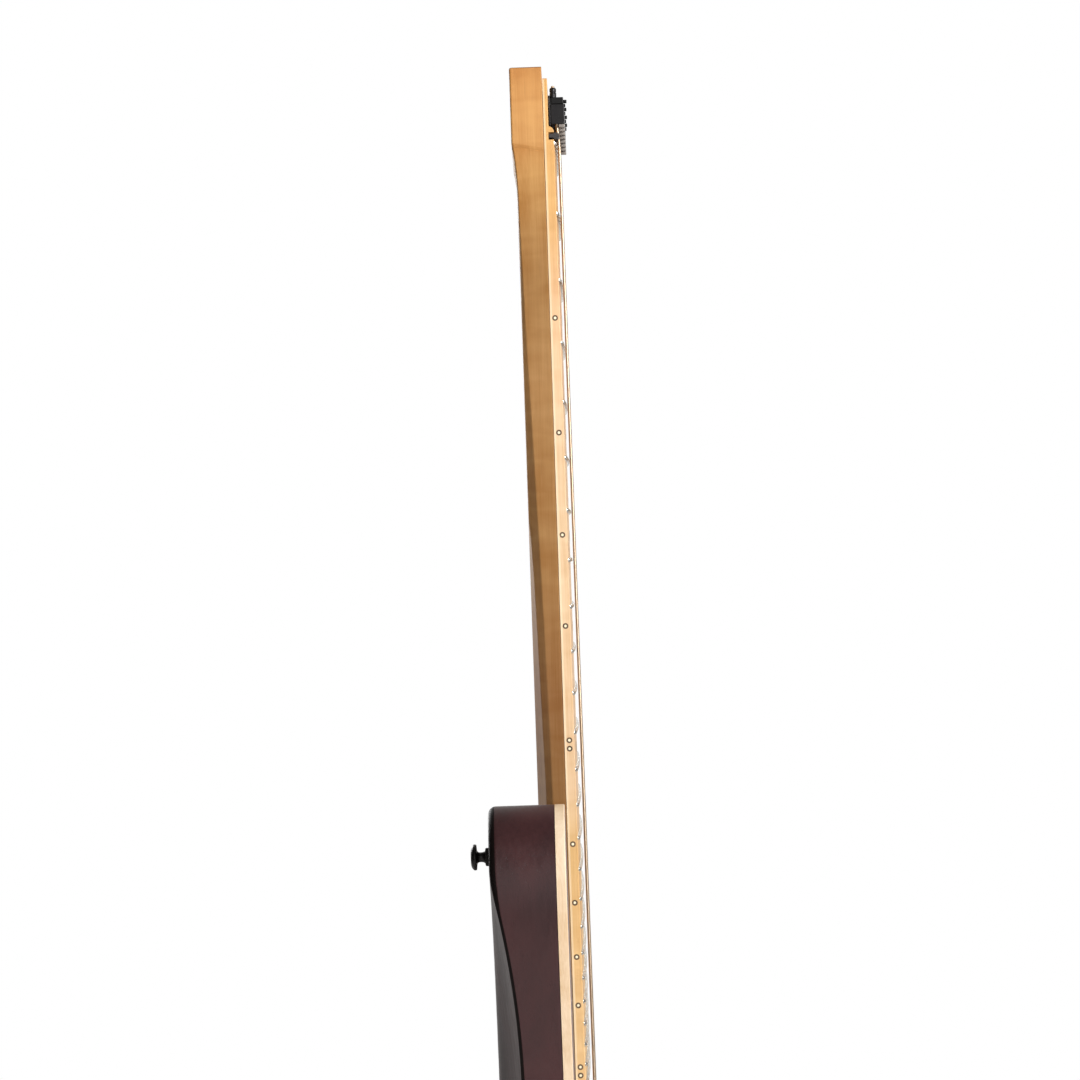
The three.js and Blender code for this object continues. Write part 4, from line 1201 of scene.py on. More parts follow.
@dataclass
class Body:
    """The body: a hollowed and rounded back, a flamed top with a pale rim, the cover, bolts and buttons."""

    steps: int = 14
    back_round: float = 4.5
    rim_round: float = 2.0
    front_round: float = 0.8
    belly: tuple[float, float] = (-175.0, -318.0)
    belly_reach: tuple[float, float] = (115.0, 155.0)
    belly_slope: float = 40.0
    belly_ease: float = 17.0
    belly_soft: float = 0.05
    grid: float = 5.0
    scoop_start: float = -45.6
    scoop_side: float = 15.0
    scoop_lip: float = 3.0
    scoop_depth: float = 25.0
    scoop_length: float = 76.0
    pocket_mouth: float = -202.0
    pocket_floor: float = -294.3
    neck_depth: float = 16.3
    cavity_ceiling: float = -10.0
    cover_thickness: float = 2.4
    cover_ledge: float = 7.0
    outline: Array = field(init=False)
    cavity: Array = field(init=False)

    def __post_init__(self) -> None:
        """Works out the two splines."""
        self.outline = closed_spline(OUTLINE, self.steps)
        self.cavity = closed_spline(CAVITY, self.steps)

    def hollow(self, spots: Array) -> Array:
        """Depth of the hollow for the ribs at each spot (y, z).

        With s = 1 less the elliptical distance from the dish's middle, the depth is 40 s - 17 s squared;
        s is softened to half of (s + root of (s squared + softness squared)), so that the dish fades in.
        """
        scaled = (spots - np.array(self.belly)) / np.array(self.belly_reach)
        s = 1 - np.linalg.norm(scaled, axis=-1)
        s = (s + np.sqrt(s**2 + self.belly_soft**2)) / 2
        s = np.maximum(s - 0.012, 0)
        return self.belly_slope * s - self.belly_ease * s**2

    def back_skin(self) -> Skin:
        """An upright side, an edge rounded by a quarter circle that follows the hollow, and the back.

        The edge's radius shrinks from 4.5 mm on the flat to 2 mm where the hollow meets the side. The back
        itself is a height over a triangle mesh of the plan.
        """
        depth = self.hollow(self.outline)
        radius = self.back_round + (self.rim_round - self.back_round) * np.clip(depth / 4, 0, 1)
        front = -LAYOUT.cap - LAYOUT.gap
        rings = [np.column_stack([np.full(len(self.outline), front), self.outline])]
        for a in np.linspace(0, np.pi / 2, 8):
            ring = offset(self.outline, -radius * (1 - math.cos(a)))
            x = -LAYOUT.body_thickness + self.hollow(ring) + radius * (1 - math.sin(a))
            rings.append(np.column_stack([x, ring]))
        rim = offset(self.outline, -radius - 0.6)
        rings.append(np.column_stack([-LAYOUT.body_thickness + self.hollow(rim), rim]))
        side = lofted(np.array(rings))
        side.patches.pop()
        return side + self.back_face(rim)

    def back_face(self, rim: Array) -> Skin:
        """Triangles over the plan inside the rim, on a grid of points, at the hollowed back's height."""
        low, high = rim.min(axis=0), rim.max(axis=0)
        y, z = np.meshgrid(np.arange(low[0], high[0], self.grid), np.arange(low[1], high[1], self.grid))
        spots = np.column_stack([y.ravel(), z.ravel()])
        spots = spots[inside(spots, offset(rim, -self.grid / 2))]
        plan = [Vector(spot) for spot in np.vstack([rim, spots])]
        corners, _, triangles, *_ = delaunay_2d_cdt(plan, [], [list(range(len(rim)))], 1, 1e-5)
        flat = np.array([list(corner) for corner in corners])
        x = -LAYOUT.body_thickness + self.hollow(flat)
        return Skin(np.column_stack([x, flat]), [np.array(triangles)])

    def pocket(self) -> tuple[Skin, ...]:
        """The neck's mortise and the space round the truss rod's wheel."""
        heights = np.array([self.pocket_mouth, self.pocket_floor])
        side = LAYOUT.board_half(heights) + LAYOUT.gap
        mortise = np.array([[-side[0], heights[0]], [-side[1], heights[1]], [side[1], heights[1]],
                            [side[0], heights[0]]])
        floor = self.pocket_floor
        return (prism(mortise, np.array([[0, -self.neck_depth - LAYOUT.gap], [0, 1]])),
                slab([-10, -8, floor - 10.5], [1, 8, floor + 1]))

    def scoop(self) -> Skin:
        """The ramp under the tuner knobs: straight sides and a floor that dips in a shallow curve."""
        half = LAYOUT.span_saddle / 2 + self.scoop_side
        t = np.linspace(0, 1, 14)
        floor = np.stack([-self.scoop_lip - (self.scoop_depth - self.scoop_lip) * t,
                          -self.scoop_length * t], 1)
        profile = np.vstack([[1, 0], floor, [1, -self.scoop_length]]) + np.array([0, self.scoop_start])
        return swept(profile, np.linspace(-half, half, 3),
                     lambda y, along: along + LAYOUT.fanned(LAYOUT.saddle_z, y))

    def front_cutters(self, floor: float) -> tuple[Skin, ...]:
        """What is cut from the front: pocket, scoop, pickup routes down to a floor, controls' holes."""
        routes = tuple(prism(pickup_outline(node, 0.5), np.array([[0, floor], [0, 1]]))
                       for node in ("neck_pickup", "bridge_pickup"))
        holes = tuple(round_hole(node, radius, self.cavity_ceiling - 1)
                      for node, radius in (("volume_pot", 4.3), ("tone_pot", 4.3), ("selector_switch", 6.1)))
        return (*self.pocket(), self.scoop(), *routes, *holes)

    def build(self) -> None:
        """Makes the body's pieces."""
        jack = maker_box("output_jack").mean(axis=0)
        tunnel = turned(np.array([[0, -50], [7.9, -50], [7.9, 12], [0, 12]]), Axis.Y, jack, 40)
        recess_floor = -LAYOUT.body_thickness + self.cover_thickness + LAYOUT.gap
        recess = prism(self.cavity, np.array([[0, -LAYOUT.body_thickness - 1], [0, recess_floor]]))
        hollow = prism(offset(self.cavity, -self.cover_ledge),
                       np.array([[0, -LAYOUT.body_thickness - 1], [0, self.cavity_ceiling]]))
        bolts = [bolt_hole(number, 2.6, -LAYOUT.body_thickness - 1, 0) for number in range(1, 5)]
        sinks = [bolt_hole(number, 4.9, -LAYOUT.body_thickness - 1, -LAYOUT.body_thickness + 3.3)
                 for number in range(1, 5)]
        # The back's rounded edge gets the near-black painted shade.
        Piece("body_back", self.back_skin(), (BACK_STAIN, EDGE_PAINTED_SHADE), "body_stain",
              stands_for=("body_back",),
              crease=32, cutters=(*self.front_cutters(-18.3), recess, hollow, tunnel, *bolts, *sinks),
              paint=self.painted_shade_edge_faces).make()
        top = prism(self.outline, round_over(-LAYOUT.cap, 0, 0, self.front_round))
        Piece("body_top", top, (TOP_STAIN, RIM_MAPLE), "top_stain", stands_for=("body_top",), crease=50,
              cutters=self.front_cutters(-LAYOUT.cap - 1), paint=self.rim_faces).make()
        self.build_cover()
        self.build_bolts()
        for node, axis, way in (("strap_button_upper", Axis.X, -1), ("strap_button_lower", Axis.Z, -1)):
            self.build_button(node, axis, way)
        self.build_jack()

    @staticmethod
    def painted_shade_edge_faces(centres: Array, normals: Array) -> Array:
        """The rounded edge between side and back, told by its slanting normals, is finish 1, the near-black
        painted shade.
        """
        return np.where((normals[:, 0] < -0.25) & (normals[:, 0] > -0.9), 1, 0)

    @staticmethod
    def rim_faces(centres: Array, normals: Array) -> Array:
        """The stained face is finish 0, and the rim round it, with its rounded edge, is finish 1."""
        return np.where(normals[:, 0] > 0.97, 0, 1)

    def build_cover(self) -> None:
        """Makes the control cover, flush with the back, and its six screws."""
        low = -LAYOUT.body_thickness
        outline = offset(self.cavity, -LAYOUT.gap)
        skin = prism(outline, round_over(low + 0.1, low + self.cover_thickness, 0.5, 0.2))
        spots = offset(self.cavity, -4.0)[:: len(self.cavity) // 6][:6]
        sinks = tuple(
            turned(np.array([[0, -1], [3.1, -1], [3.1, 0.1], [1.6, 1.5], [1.6, 5], [0, 5]]), Axis.X,
                   [low, y, z], 28)
            for y, z in spots)
        Piece("control_cover", skin, (BLACK_PLASTIC,), "black_plastic", stands_for=("control_cover",),
              cutters=sinks).make()
        screws = [screw_head(np.array([low + 0.25, y, z]), Axis.X, -1, 2.9, 0.5) for y, z in spots]
        for number, (skin, slots) in enumerate(screws, 1):
            Piece(f"cover_screw_{number}", skin, (BLACK_METAL,), "black_metal", cutters=slots,
                  crease=30).make()

    def build_bolts(self) -> None:
        """Makes each neck bolt, with a cross in its head, and the ferrule that it sits in."""
        for number in range(1, 5):
            node = f"neck_bolt_{number}"
            centre = maker_box(node).mean(axis=0) * np.array([0, 1, 1])
            low = -LAYOUT.body_thickness
            head = screw_head(centre + np.array([low + 0.6, 0, 0]), Axis.X, -1, 3.6, 1.0,
                              shank=(2.2, -low - 3.6))
            Piece(node, head[0], (STEEL,), "steel", stands_for=(node,), cutters=head[1], crease=30).make()
            ring = eased([[2.4, 0.0], [4.75, 0.0], [4.75, 3.0], [2.4, 3.0]], 0.35, 5)
            Piece(f"bolt_ferrule_{number}", turned(ring, Axis.X, centre + np.array([low + 0.15, 0, 0]), 48,
                                                   looped=True), (BLACK_METAL,), "black_metal").make()

    def build_button(self, node: str, axis: Axis, way: int) -> None:
        """Makes a strap button with its felt washer and the cross in its screw's head."""
        low, high = maker_box(node)
        centre = (low + high) / 2
        base = (high if way < 0 else low)[axis.value] - way * LAYOUT.gap
        centre[axis.value] = base
        corners = [[0, 1.0], [3.6, 1.0], [3.6, 1.9], [3.0, 2.7], [2.75, 3.6], [2.75, 5.4], [3.4, 6.3],
                   [7.0, 6.7],
                   [7.3, 7.4], [7.2, 8.4], [5.6, 9.7], [3.2, 10.0], [0, 10.0]]
        rounds = [0, 0.2, 0.3, 0.5, 0.8, 1.0, 0.9, 0.4, 0.5, 0.6, 1.0, 0.4, 0]
        skin = turned(eased(corners, rounds, 6, closed=False), axis, centre, 72, way)
        top = centre.copy()
        top[axis.value] += way * 10.0
        Piece(node, skin, (BLACK_METAL,), "black_metal", stands_for=(node,),
              cutters=cross_slots(top, axis, way, 2.4, 1.2), crease=45).make()
        start = -0.45 if axis is Axis.X else 0.02
        washer = eased([[0, start], [5.1, start], [5.1, 1.5], [4.4, 1.9], [0, 1.9]], [0, 0.2, 0.5, 0.3, 0], 5,
                       closed=False)
        Piece(f"{node}_felt", turned(washer, axis, centre, 64, way), (FELT,), "black_plastic").make()

    def build_jack(self) -> None:
        """Makes the output socket: a flanged barrel and a hexagon nut."""
        low, high = maker_box("output_jack")
        centre = (low + high) / 2
        centre[1] = high[1] - 2.3
        corners = [[3.6, -20], [7.6, -20], [7.6, 0.3], [10.5, 0.3], [10.5, 1.0], [9.6, 1.5], [3.6, 1.5]]
        barrel = turned(eased(corners, [0.3, 0.3, 0.1, 0.2, 0.4, 0.3, 0.5], 5), Axis.Y, centre, 72,
                        looped=True)
        Piece("output_jack", barrel, (BLACK_METAL,), "black_metal", stands_for=("output_jack",)).make()
        ring = eased([[3.7, 1.52], [6.2, 1.52], [6.2, 2.3], [3.7, 2.3]], 0.3, 4)
        Piece("jack_nut", turned(ring, Axis.Y, centre, 6, looped=True), (GREY_METAL,), "grey_metal",
              crease=20).make()


def inside(spots: Array, outline: Array) -> Array:
    """Which spots lie in an outline: a ray from each crosses an odd number of edges."""
    y0, z0 = outline.T
    y1, z1 = np.roll(outline, -1, axis=0).T
    py, pz = spots[:, :1], spots[:, 1:]
    straddles = (z0 > pz) != (z1 > pz)
    with np.errstate(divide="ignore", invalid="ignore"):
        crossing = y0 + (pz - z0) * (y1 - y0) / (z1 - z0)
    return ((straddles & (py < crossing)).sum(axis=1) % 2).astype(bool)


def pickup_outline(node: str, extra: float) -> Array:
    """A pickup's plan, a round-cornered rectangle turned along the fan, grown by `extra` all round."""
    length, width, corner = 94.0, 36.0, 6.0
    z = float(maker_box(node)[:, 2].mean())
    flat = arc_outline(length / 2 + extra, width / 2 + extra, corner)
    angle = math.atan(float(LAYOUT.fan_slope(z)))
    turn = np.array([[math.cos(angle), math.sin(angle)], [-math.sin(angle), math.cos(angle)]])
    return flat @ turn + np.array([0, z])


def round_hole(node: str, radius: float, floor: float) -> Skin:
    """A hole through the front over a node's middle."""
    centre = maker_box(node).mean(axis=0) * np.array([0, 1, 1])
    return turned(np.array([[0, floor], [radius, floor], [radius, 1], [0, 1]]), Axis.X, centre, 40)


def cross_slots(top: Array, axis: Axis, way: int, reach: float, depth: float) -> tuple[Skin, ...]:
    """Two crossed slots to cut from a screw's head, from its top down."""
    thick = reach * 0.16
    slots = []
    for wide, tall in ((reach, thick), (thick, reach)):
        plan = np.array([[-wide, -tall], [wide, -tall], [wide, tall], [-wide, tall]])
        ends = np.array([-depth, 1.0]) * way
        rings = np.stack([np.column_stack([np.full(4, end), plan * (1.0 if end * way > 0 else 0.7)])
                          for end in ends])
        slots.append(lofted(np.roll(rings, axis.value, axis=-1) + top))
    return tuple(slots)


def screw_head(seat: Array, axis: Axis, way: int, radius: float, rise: float,
               shank: tuple[float, float] = (1.2, 4.0)) -> tuple[Skin, tuple[Skin, ...]]:
    """A domed screw and the slots to cut in it.

    Args:
        seat: Where the head's edge sits.
        axis: The screw's axis.
        way: Which way the head faces.
        radius: Radius of the head.
        rise: Height of the dome: rise times cos(pi r / 2 radius) at distance r.
        shank: Radius and length of the shank behind the head.

    Returns:
        The screw's skin and its cross slots.
    """
    r = np.linspace(0, radius, 9)
    dome = np.stack([r, rise * np.cos(r / radius * np.pi / 2) ** 0.7], axis=1)[::-1]
    under = [[0, -shank[1]], [shank[0], -shank[1]], [shank[0], -1.4], [radius * 0.9, -0.6], [radius, -0.3]]
    skin = turned(np.vstack([under, dome]), axis, seat, 48, way)
    top = np.array(seat, float)
    top[axis.value] += way * rise
    return skin, cross_slots(top, axis, way, radius * 0.62, 1.1)


# ---------------------------------------------------------------- bridge


@dataclass
class Bridge:
    """The bridge: a slanted base, walls between eight bays, a hood, saddles, carriages and tuner knobs."""

    front: float = 12.0
    wall_front: float = -40.0
    wall_back: float = -43.0
    margin: float = 6.0
    base: tuple[float, float] = (0.3, 2.4)
    rib_top: float = 9.6
    rib_half: float = 1.0
    hood: tuple[float, float] = (-19.0, -10.0)
    hood_x: tuple[float, float] = (9.62, 11.2)
    saddle_half: float = 3.8
    saddle_ahead: float = 5.0
    saddle_behind: float = -4.0
    tuner_height: float = 6.1
    hole: float = 1.9

    @property
    def half(self) -> float:
        """Half the width of the base."""
        return LAYOUT.span_saddle / 2 + self.margin

    def slanted(self, plan: Array) -> Array:
        """A plan (y, distance along the strings) moved on to the saddles' slanting line."""
        y, along = plan.T
        return np.column_stack([y, LAYOUT.fanned(LAYOUT.saddle_z, y) + along])

    def places(self) -> list[tuple[int, float, float]]:
        """Number, offset and height of each string's crossing of its saddle."""
        rows = []
        for index in range(LAYOUT.string_count):
            y = float(LAYOUT.string_y(index, LAYOUT.saddle_z))
            rows.append((index, y, float(LAYOUT.fanned(LAYOUT.saddle_z, y))))
        return rows

    def base_skin(self) -> Skin:
        """A slanted plate with round corners and eased edges."""
        half = self.half
        corners = np.array([[-half, self.wall_back], [half, self.wall_back], [half, self.front],
                            [-half, self.front]])
        return prism(eased(self.slanted(corners), 2.5, 8), round_over(*self.base, 0.1, 0.6))

    def wall_skin(self) -> Skin:
        """The rear wall that carries the eight tuner screws."""
        half = self.half - 0.2
        plan = np.array([[-half, self.wall_back + 0.3], [half, self.wall_back + 0.3], [half, self.wall_front],
                         [-half, self.wall_front]])
        return prism(eased(self.slanted(plan), 0.4, 4),
                     round_over(self.base[1] - 0.05, self.rib_top, 0, 0.4, 4))

    def rib_skin(self) -> Skin:
        """The nine walls between the bays, a string's spacing apart and joined in one piece."""
        pitch = LAYOUT.span_saddle / (LAYOUT.string_count - 1)
        middles = pitch * (np.arange(LAYOUT.string_count + 1) - LAYOUT.string_count / 2)
        sides = np.clip(np.stack([middles - self.rib_half, middles + self.rib_half], 1), 0.2 - self.half,
                        self.half - 0.2)
        back, front = self.wall_front - 0.3, self.hood[1] - 0.4
        profile = round_over(self.base[1] - 0.05, self.rib_top - 0.05, 0, 0.3, 3)
        return joined([
            prism(eased(self.slanted(np.array([[low, back], [high, back], [high, front], [low, front]])),
                        0.25, 3), profile) for low, high in sides])

    def hood_skin(self) -> Skin:
        """The hood over the string ends, its front edge rolled down a little."""
        half = self.half
        back, front = self.hood
        corners = np.array([[-half, back], [half, back], [half, front], [-half, front]])
        return prism(eased(self.slanted(corners), 1.2, 6), round_over(*self.hood_x, 0.1, 0.7))

    def build(self) -> None:
        """Makes the bridge's pieces."""
        bores = tuple(
            turned(np.array([[0, self.wall_back - 4], [self.hole, self.wall_back - 4],
                             [self.hole, self.wall_front + 4], [0, self.wall_front + 4]]), Axis.Z,
                   [self.tuner_height, y, z], 24)
            for _, y, z in self.places())
        seats = [(y, float(LAYOUT.fanned(LAYOUT.saddle_z, y)) + 8.6) for y in (-34.0, -11.5, 11.5, 34.0)]
        sinks = tuple(turned(np.array([[0, -3], [1.5, -3], [1.5, 0.6], [2.6, 1.9], [2.6, 4], [0, 4]]), Axis.X,
                             [0.6, y, z], 28) for y, z in seats)
        Piece("bridge_plate", self.base_skin(), (BLACK_METAL,), "black_metal", stands_for=("bridge_plate",),
              cutters=sinks).make()
        Piece("bridge_wall", self.wall_skin(), (BLACK_METAL,), "black_metal", cutters=bores, crease=30).make()
        Piece("bridge_ribs", self.rib_skin(), (BLACK_METAL,), "black_metal", crease=30).make()
        Piece("bridge_hood", self.hood_skin(), (BLACK_METAL,), "black_metal").make()
        for number, (y, z) in enumerate(seats, 1):
            skin = turned(eased([[0, -4], [1.3, -4], [1.3, 0.2], [2.45, 1.5], [2.45, 1.75], [0, 1.75]],
                                0.12, 3,
                                closed=False), Axis.X, [0.6, y, z], 32)
            Piece(f"bridge_screw_{number}", skin, (GREY_METAL,), "grey_metal",
                  cutters=(hex_socket(np.array([2.35, y, z]), Axis.X, 1.3, 1.1),), crease=30).make()
        for index, y, z in self.places():
            self.build_saddle(index, y, z)
            self.build_carriage(index, y, z)
            self.build_knob(index)

    def build_saddle(self, index: int, y: float, z: float) -> None:
        """Makes a saddle with a rolled crest, a groove for its string and two height screws."""
        top = LAYOUT.saddle_crest(y)
        corners = np.array([[self.base[1] + 0.03, self.saddle_ahead], [top - 2.2, self.saddle_ahead],
                            [top - 0.7, 3.0], [top + 0.1, 0], [top - 2.6, self.saddle_behind],
                            [self.base[1] + 0.03, self.saddle_behind]])
        profile = eased(corners, [0.2, 0.8, 1.4, 0.9, 0.8, 0.2], 6)
        inner = self.saddle_half - 0.35
        across = np.array([-self.saddle_half, -inner, inner, self.saddle_half])
        shrink = np.array([0.35, 0, 0, 0.35])[:, None]
        centre = profile.mean(axis=0)
        reach = np.abs(profile - centre).max(axis=0)
        rings = centre + (profile - centre) * (1 - shrink[..., None] / reach)
        y_grid = (y + across)[:, None] + 0 * rings[..., 0]
        skin = lofted(np.stack([rings[..., 0], y_grid, z + rings[..., 1]], axis=-1))
        groove = tube(string_path(index), STRING_RADII[index] + 0.06, 20)
        number = LAYOUT.string_count - index
        Piece(f"saddle_{number}", skin, (BLACK_METAL,), "black_metal", cutters=(groove,), crease=35).make()
        for side, label in ((-1, "low"), (1, "high")):
            spot = np.array([top - 1.35, y + side * 2.55, z + 3.1])
            screw = turned(eased([[0, -2], [0.85, -2], [0.85, 0.75], [0, 0.75]], 0.2, 4, closed=False),
                           Axis.X,
                           spot, 24)
            socket = hex_socket(spot + np.array([0.75, 0, 0]), Axis.X, 0.45, 0.6)
            Piece(f"saddle_{number}_screw_{label}", screw, (GREY_METAL,), "grey_metal", cutters=(socket,),
                  crease=30).make()

    def build_carriage(self, index: int, y: float, z: float) -> None:
        """Makes a carriage: an eased block, bored for its screw, with a pocket for the string's ball."""
        number = LAYOUT.string_count - index
        node = f"tuner_carriage_{number}"
        low, high = maker_box(node)
        bore = turned(np.array([[0, -40], [self.hole - 0.1, -40], [self.hole - 0.1, 0], [0, 0]]), Axis.Z,
                      [self.tuner_height, y, z], 28)
        mouth = turned(np.array([[0, -4.5], [2.6, -4.5], [2.6, 1], [0, 1]]), Axis.Z,
                       [self.tuner_height, y, high[2]], 32)
        slot = slab([self.tuner_height, y - 1.15, high[2] - 2.6], [high[0] + 1, y + 1.15, high[2] + 1])
        Piece(node, slab(low, high), (GREY_METAL,), "grey_metal", node, (node,), bevel=0.5,
              cutters=(bore, mouth, slot)).make()

    def build_knob(self, index: int) -> None:
        """Makes a tuner's thumb wheel, knurled round its rim, and its threaded rod."""
        number = LAYOUT.string_count - index
        node = f"tuner_knob_{number}"
        low, high = maker_box(node)
        radius = (high[1] - low[1]) / 2
        base = low[2]
        length = 13.4
        centre = [(low[0] + high[0]) / 2, (low[1] + high[1]) / 2, base]
        face = [[0, 0.5], [1.6, 0.5], [2.0, 0.0], [radius - 0.9, 0.0], [radius, 0.9]]
        band = np.column_stack([np.full(24, radius), np.linspace(1.2, length - 3.2, 24)])
        neck = [[radius, length - 2.9], [radius - 0.5, length - 2.3], [3.3, length - 0.4], [3.1, length],
                [1.9, length]]
        tip = high[2] - base
        turns = np.linspace(length + 0.2, tip - 0.8, 150)
        thread = np.column_stack([1.38 + 0.12 * np.cos(np.arange(150) * np.pi), turns])
        profile = np.vstack([face, band, neck, thread, [[1.0, tip], [0, tip]]])
        skin = turned(profile, Axis.Z, centre, 96, ripple=knurl(24, 2.6, 0.22, 1.2, length - 3.2))
        Piece(node, skin, (BLACK_METAL,), "black_metal", node, (node,), crease=50).make()


# ---------------------------------------------------------------- pickups and controls


@dataclass
class Electronics:
    """Two pickups, two knobs, the selector and what sits behind them."""

    pickup_bottom: float = -18.0
    pickup_top: float = 7.2
    pole: float = 2.1
    pole_count: int = 8

    def build(self) -> None:
        """Makes the pickups and controls."""
        for node in ("neck_pickup", "bridge_pickup"):
            self.build_pickup(node)
        for name in ("volume", "tone"):
            self.build_knob(name)
        self.build_selector()
        for node in ("volume_pot", "tone_pot"):
            dress_node(node, STEEL)
        dress_node("selector_switch", BLACK_METAL)

    def build_pickup(self, node: str) -> None:
        """Makes a pickup's shell with eased edges, eight socketed pole screws and two mounting screws."""
        z = float(maker_box(node)[:, 2].mean())
        slope = float(LAYOUT.fan_slope(z))
        shell = prism(pickup_outline(node, 0), round_over(self.pickup_bottom, self.pickup_top, 0.3, 1.4, 7))
        spots = [(float(LAYOUT.string_y(index, z)), index) for index in range(self.pole_count)]
        poles, sockets = [], []
        for y, _ in spots:
            spot = np.array([self.pickup_top, y, z + slope * y])
            corners = [[0, -2], [self.pole, -2], [self.pole, 0.55], [0, 0.55]]
            poles.append(turned(eased(corners, 0.3, 5, closed=False), Axis.X, spot, 36))
            sockets.append(hex_socket(spot + np.array([0.55, 0, 0]), Axis.X, 1.0, 1.0))
        Piece(node, shell, (BLACK_PLASTIC,), "black_plastic", stands_for=(node,)).make()
        Piece(f"{node}_poles", joined(poles), (STEEL,), "steel", cutters=tuple(sockets), crease=30).make()
        for side, label in ((-1, "low"), (1, "high")):
            y = side * 42.5 * math.cos(math.atan(slope))
            skin, slots = screw_head(np.array([self.pickup_top - 0.1, y, z + slope * y]), Axis.X, 1, 2.4, 0.7)
            Piece(f"{node}_screw_{label}", skin, (BLACK_METAL,), "black_metal", cutters=slots,
                  crease=30).make()

    def build_knob(self, name: str) -> None:
        """Makes a control knob: knurled side, dished top and a pointer line."""
        node = f"{name}_knob"
        low, high = maker_box(node)
        centre = (low + high) / 2 * np.array([0, 1, 1])
        radius = (high[1] - low[1]) / 2
        base, top = low[0], high[0]
        lower = [[0, base + 10.7], [3.3, base + 10.7], [3.3, base + 2.3], [5.5, base + 2.3], [5.5, base],
                 [radius - 0.5, base], [radius, base + 0.5], [radius, base + 1.4]]
        band = np.column_stack([np.full(26, radius), np.linspace(base + 1.5, top - 2.4, 26)])
        r = np.linspace(radius - 1.5, 0, 10)
        crown = np.column_stack([r, top - 0.5 * (1 - (r / (radius - 1.5)) ** 2)])
        profile = np.vstack([lower, band, [[radius, top - 2.2], [radius - 0.3, top - 1.0],
                                           [radius - 0.9, top - 0.2]],
                             crown])
        skin = turned(profile, Axis.X, centre, 144, ripple=knurl(36, 2.2, 0.22, base + 1.5, top - 2.4))
        Piece(node, skin, (BLACK_METAL,), "black_metal", node, (node,), crease=45).make()
        line = slab([top - 0.52, centre[1] - 0.45, centre[2] + 2.2], [top - 0.02, centre[1] + 0.45,
                                                                      centre[2] + radius - 1.6])
        Piece(f"{name}_pointer", line, (POINTER,), "black_plastic", node, bevel=0.12).make()

    def build_selector(self) -> None:
        """Makes the selector's round nut and its bat-shaped lever."""
        low, high = maker_box("selector_lever")
        centre = (low + high) / 2 * np.array([0, 1, 1])
        ring = eased([[5.9, 0.35], [8.6, 0.35], [8.6, 0.9], [7.6, 1.3], [7.4, 2.9], [6.9, 3.2], [5.9, 3.2]],
                     0.25, 4)
        ripple = knurl(26, 0.0, 0.18, 1.3, 3.0)
        Piece("selector_nut", turned(ring, Axis.X, centre, 104, ripple=ripple, looped=True), (BLACK_METAL,),
              "black_metal", crease=45).make()
        corners = [[0, low[0]], [1.3, low[0]], [1.3, 7], [2.4, 14], [2.9, 16.4], [2, 18], [0, 18.4]]
        profile = eased(corners, [0, 0.3, 3, 2, 1.2, 1.2, 0], 8, closed=False)
        Piece("selector_lever", turned(profile, Axis.X, centre, 48), (BLACK_METAL,), "black_metal",
              "selector_lever", ("selector_lever",), crease=50).make()


# ---------------------------------------------------------------- studio


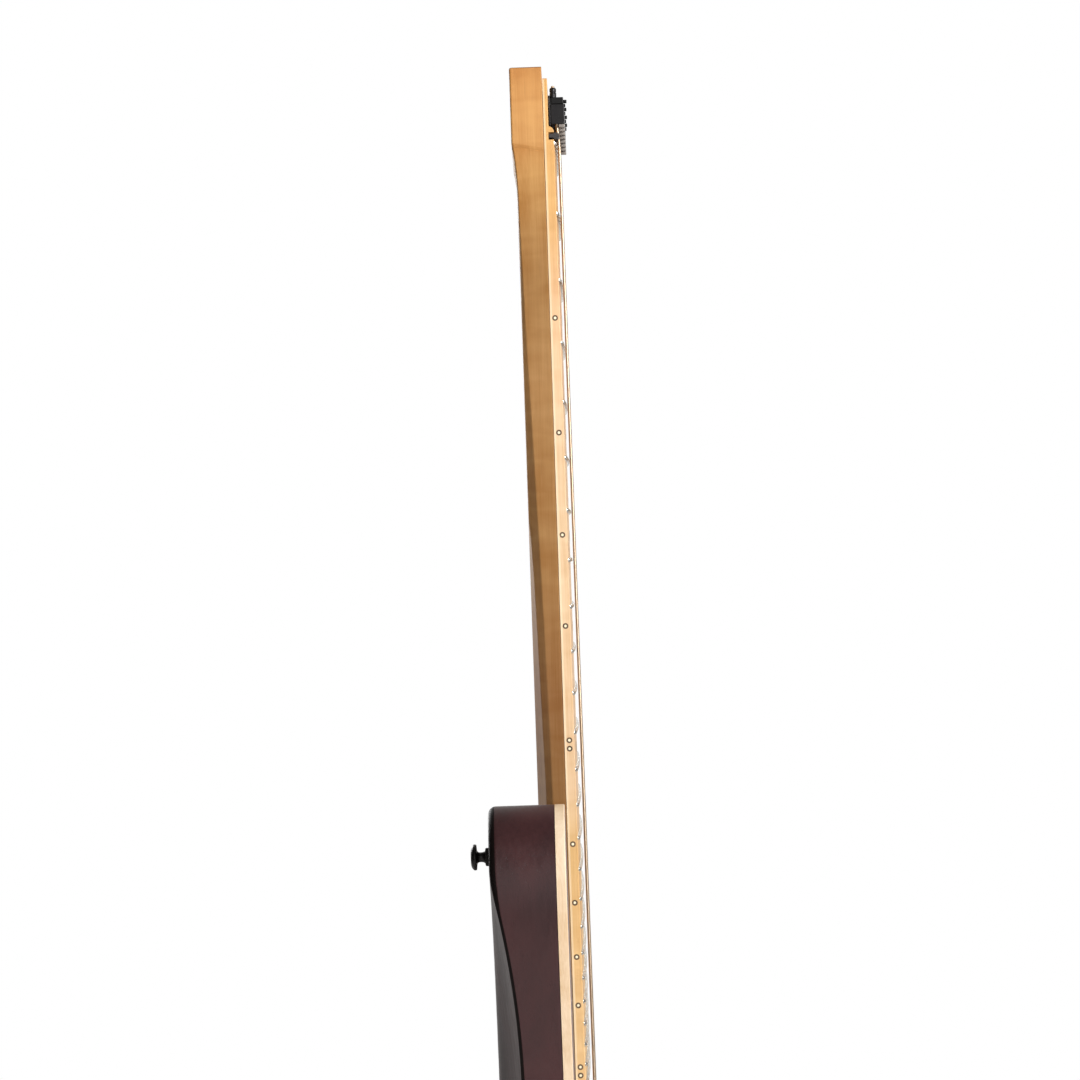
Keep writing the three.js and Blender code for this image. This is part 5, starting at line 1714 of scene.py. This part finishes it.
@dataclass
class Studio:
    """A long lens at the strings' low side, a pale floor, a white background and soft lights."""

    lens: float = 190.7
    eye: tuple[float, float, float] = (38.41, -3287.6, 24.56)
    yaw: float = 0.01479
    pitch: float = -0.00387
    roll: float = -0.03401
    floor_size: float = 2.6
    front_sky: float = 0.22
    back_sky: float = 0.95

    def build(self) -> None:
        """Makes the camera, the floor, the background and the lights."""
        scene = bpy.context.scene
        scene.view_settings.view_transform = "Standard"
        scene.view_settings.look = "None"
        self.build_camera()
        self.build_floor()
        self.build_background()
        self.build_lights()

    def build_camera(self) -> None:
        """Makes the camera from its place and its three angles."""
        ahead = Vector((-math.sin(self.yaw) * math.cos(self.pitch), math.cos(self.yaw) * math.cos(self.pitch),
                        math.sin(self.pitch)))
        across = ahead.cross(Vector((0, 0, 1))).normalized()
        up = across.cross(ahead)
        right = across * math.cos(self.roll) + up * math.sin(self.roll)
        above = up * math.cos(self.roll) - across * math.sin(self.roll)
        data = bpy.data.cameras.new("camera")
        data.lens = self.lens
        data.sensor_width = 36.0
        data.clip_start = 0.05
        data.clip_end = 60.0
        camera = bpy.data.objects.new("camera", data)
        turn = Matrix((right, above, -ahead)).transposed().to_4x4()
        camera.matrix_world = Matrix.Translation(Vector((np.array(self.eye) + ORIGIN) * MM)) @ turn
        bpy.context.scene.collection.objects.link(camera)
        bpy.context.scene.camera = camera

    def build_floor(self) -> None:
        """Makes a plain pale floor under the lower strap button: a disc with an eased rim."""
        level = CAD_BOX[0][2] / MM - ORIGIN[2] - 0.2
        radius = self.floor_size / 2 / MM
        profile = eased([[0, -20], [radius, -20], [radius, 0], [0, 0]], 8, 5, closed=False)
        floor = Piece.raw("floor", turned(profile, Axis.Z, [0, 0, level], 128))
        floor.data.materials.append(FLOOR.material())
        floor.data.shade_smooth()
        floor.data.set_sharp_from_angle(angle=math.radians(40))

    def build_background(self) -> None:
        """Makes a world that looks white, and lights the scene brighter from behind than from the sides."""
        world = bpy.data.worlds.new("studio")
        world.use_nodes = True
        tree = world.node_tree
        tree.nodes.clear()
        place = tree.nodes.new("ShaderNodeTexCoord")
        split = tree.nodes.new("ShaderNodeSeparateXYZ")
        tree.links.new(place.outputs["Generated"], split.inputs[0])
        factors = []
        for axis, spread in (("Y", (0.0, 0.55, self.front_sky, self.back_sky)),
                             ("X", (-0.7, 0.05, 0.12, 1.0))):
            level = tree.nodes.new("ShaderNodeMapRange")
            level.interpolation_type = "SMOOTHSTEP"
            tree.links.new(split.outputs[axis], level.inputs["Value"])
            for key, value in zip(("From Min", "From Max", "To Min", "To Max"), spread):
                level.inputs[key].default_value = value
            factors.append(level.outputs["Result"])
        product = tree.nodes.new("ShaderNodeMath")
        product.operation = "MULTIPLY"
        for socket, factor in zip(product.inputs, factors):
            tree.links.new(factor, socket)
        lighting = tree.nodes.new("ShaderNodeBackground")
        tree.links.new(product.outputs[0], lighting.inputs["Strength"])
        lighting.inputs["Color"].default_value = (1, 0.985, 0.965, 1)
        seen = tree.nodes.new("ShaderNodeBackground")
        seen.inputs["Color"].default_value = (1, 1, 1, 1)
        seen.inputs["Strength"].default_value = 1.0
        ray = tree.nodes.new("ShaderNodeLightPath")
        choice = tree.nodes.new("ShaderNodeMixShader")
        tree.links.new(ray.outputs["Is Camera Ray"], choice.inputs[0])
        tree.links.new(lighting.outputs[0], choice.inputs[1])
        tree.links.new(seen.outputs[0], choice.inputs[2])
        output = tree.nodes.new("ShaderNodeOutputWorld")
        tree.links.new(choice.outputs[0], output.inputs[0])
        bpy.context.scene.world = world

    def build_lights(self) -> None:
        """Makes the softboxes: a key up in front, a fill by the camera, and one behind at the back's side."""
        self.softbox("key_light", (1.4, -1.8, 0.8), 0.9, 66.0)
        self.softbox("fill_light", (-0.3, -3.0, 0.3), 1.2, 6.0)
        self.softbox("back_light", (-1.3, 2.2, 0.7), 1.0, 26.0)

    def softbox(self, name: str, place: tuple[float, float, float], size: float, power: float) -> None:
        """Makes a square area light that faces the middle of the instrument."""
        data = bpy.data.lights.new(name, "AREA")
        data.shape = "SQUARE"
        data.size = size
        data.energy = power
        light = bpy.data.objects.new(name, data)
        spot = Vector(place)
        turn = (Vector((0, 0, 0.05)) - spot).to_track_quat("-Z", "Y").to_matrix().to_4x4()
        light.matrix_world = Matrix.Translation(spot) @ turn
        bpy.context.scene.collection.objects.link(light)


def main() -> None:
    """Builds the studio and the guitar, sub-assembly by sub-assembly."""
    logging.basicConfig(level=logging.INFO, format="%(message)s")
    for section in (Studio(), Neck(), Fingerboard(), Strings(), StringLocks(), Body(), Bridge(),
                    Electronics()):
        section.build()


if __name__ == "__main__":
    main()
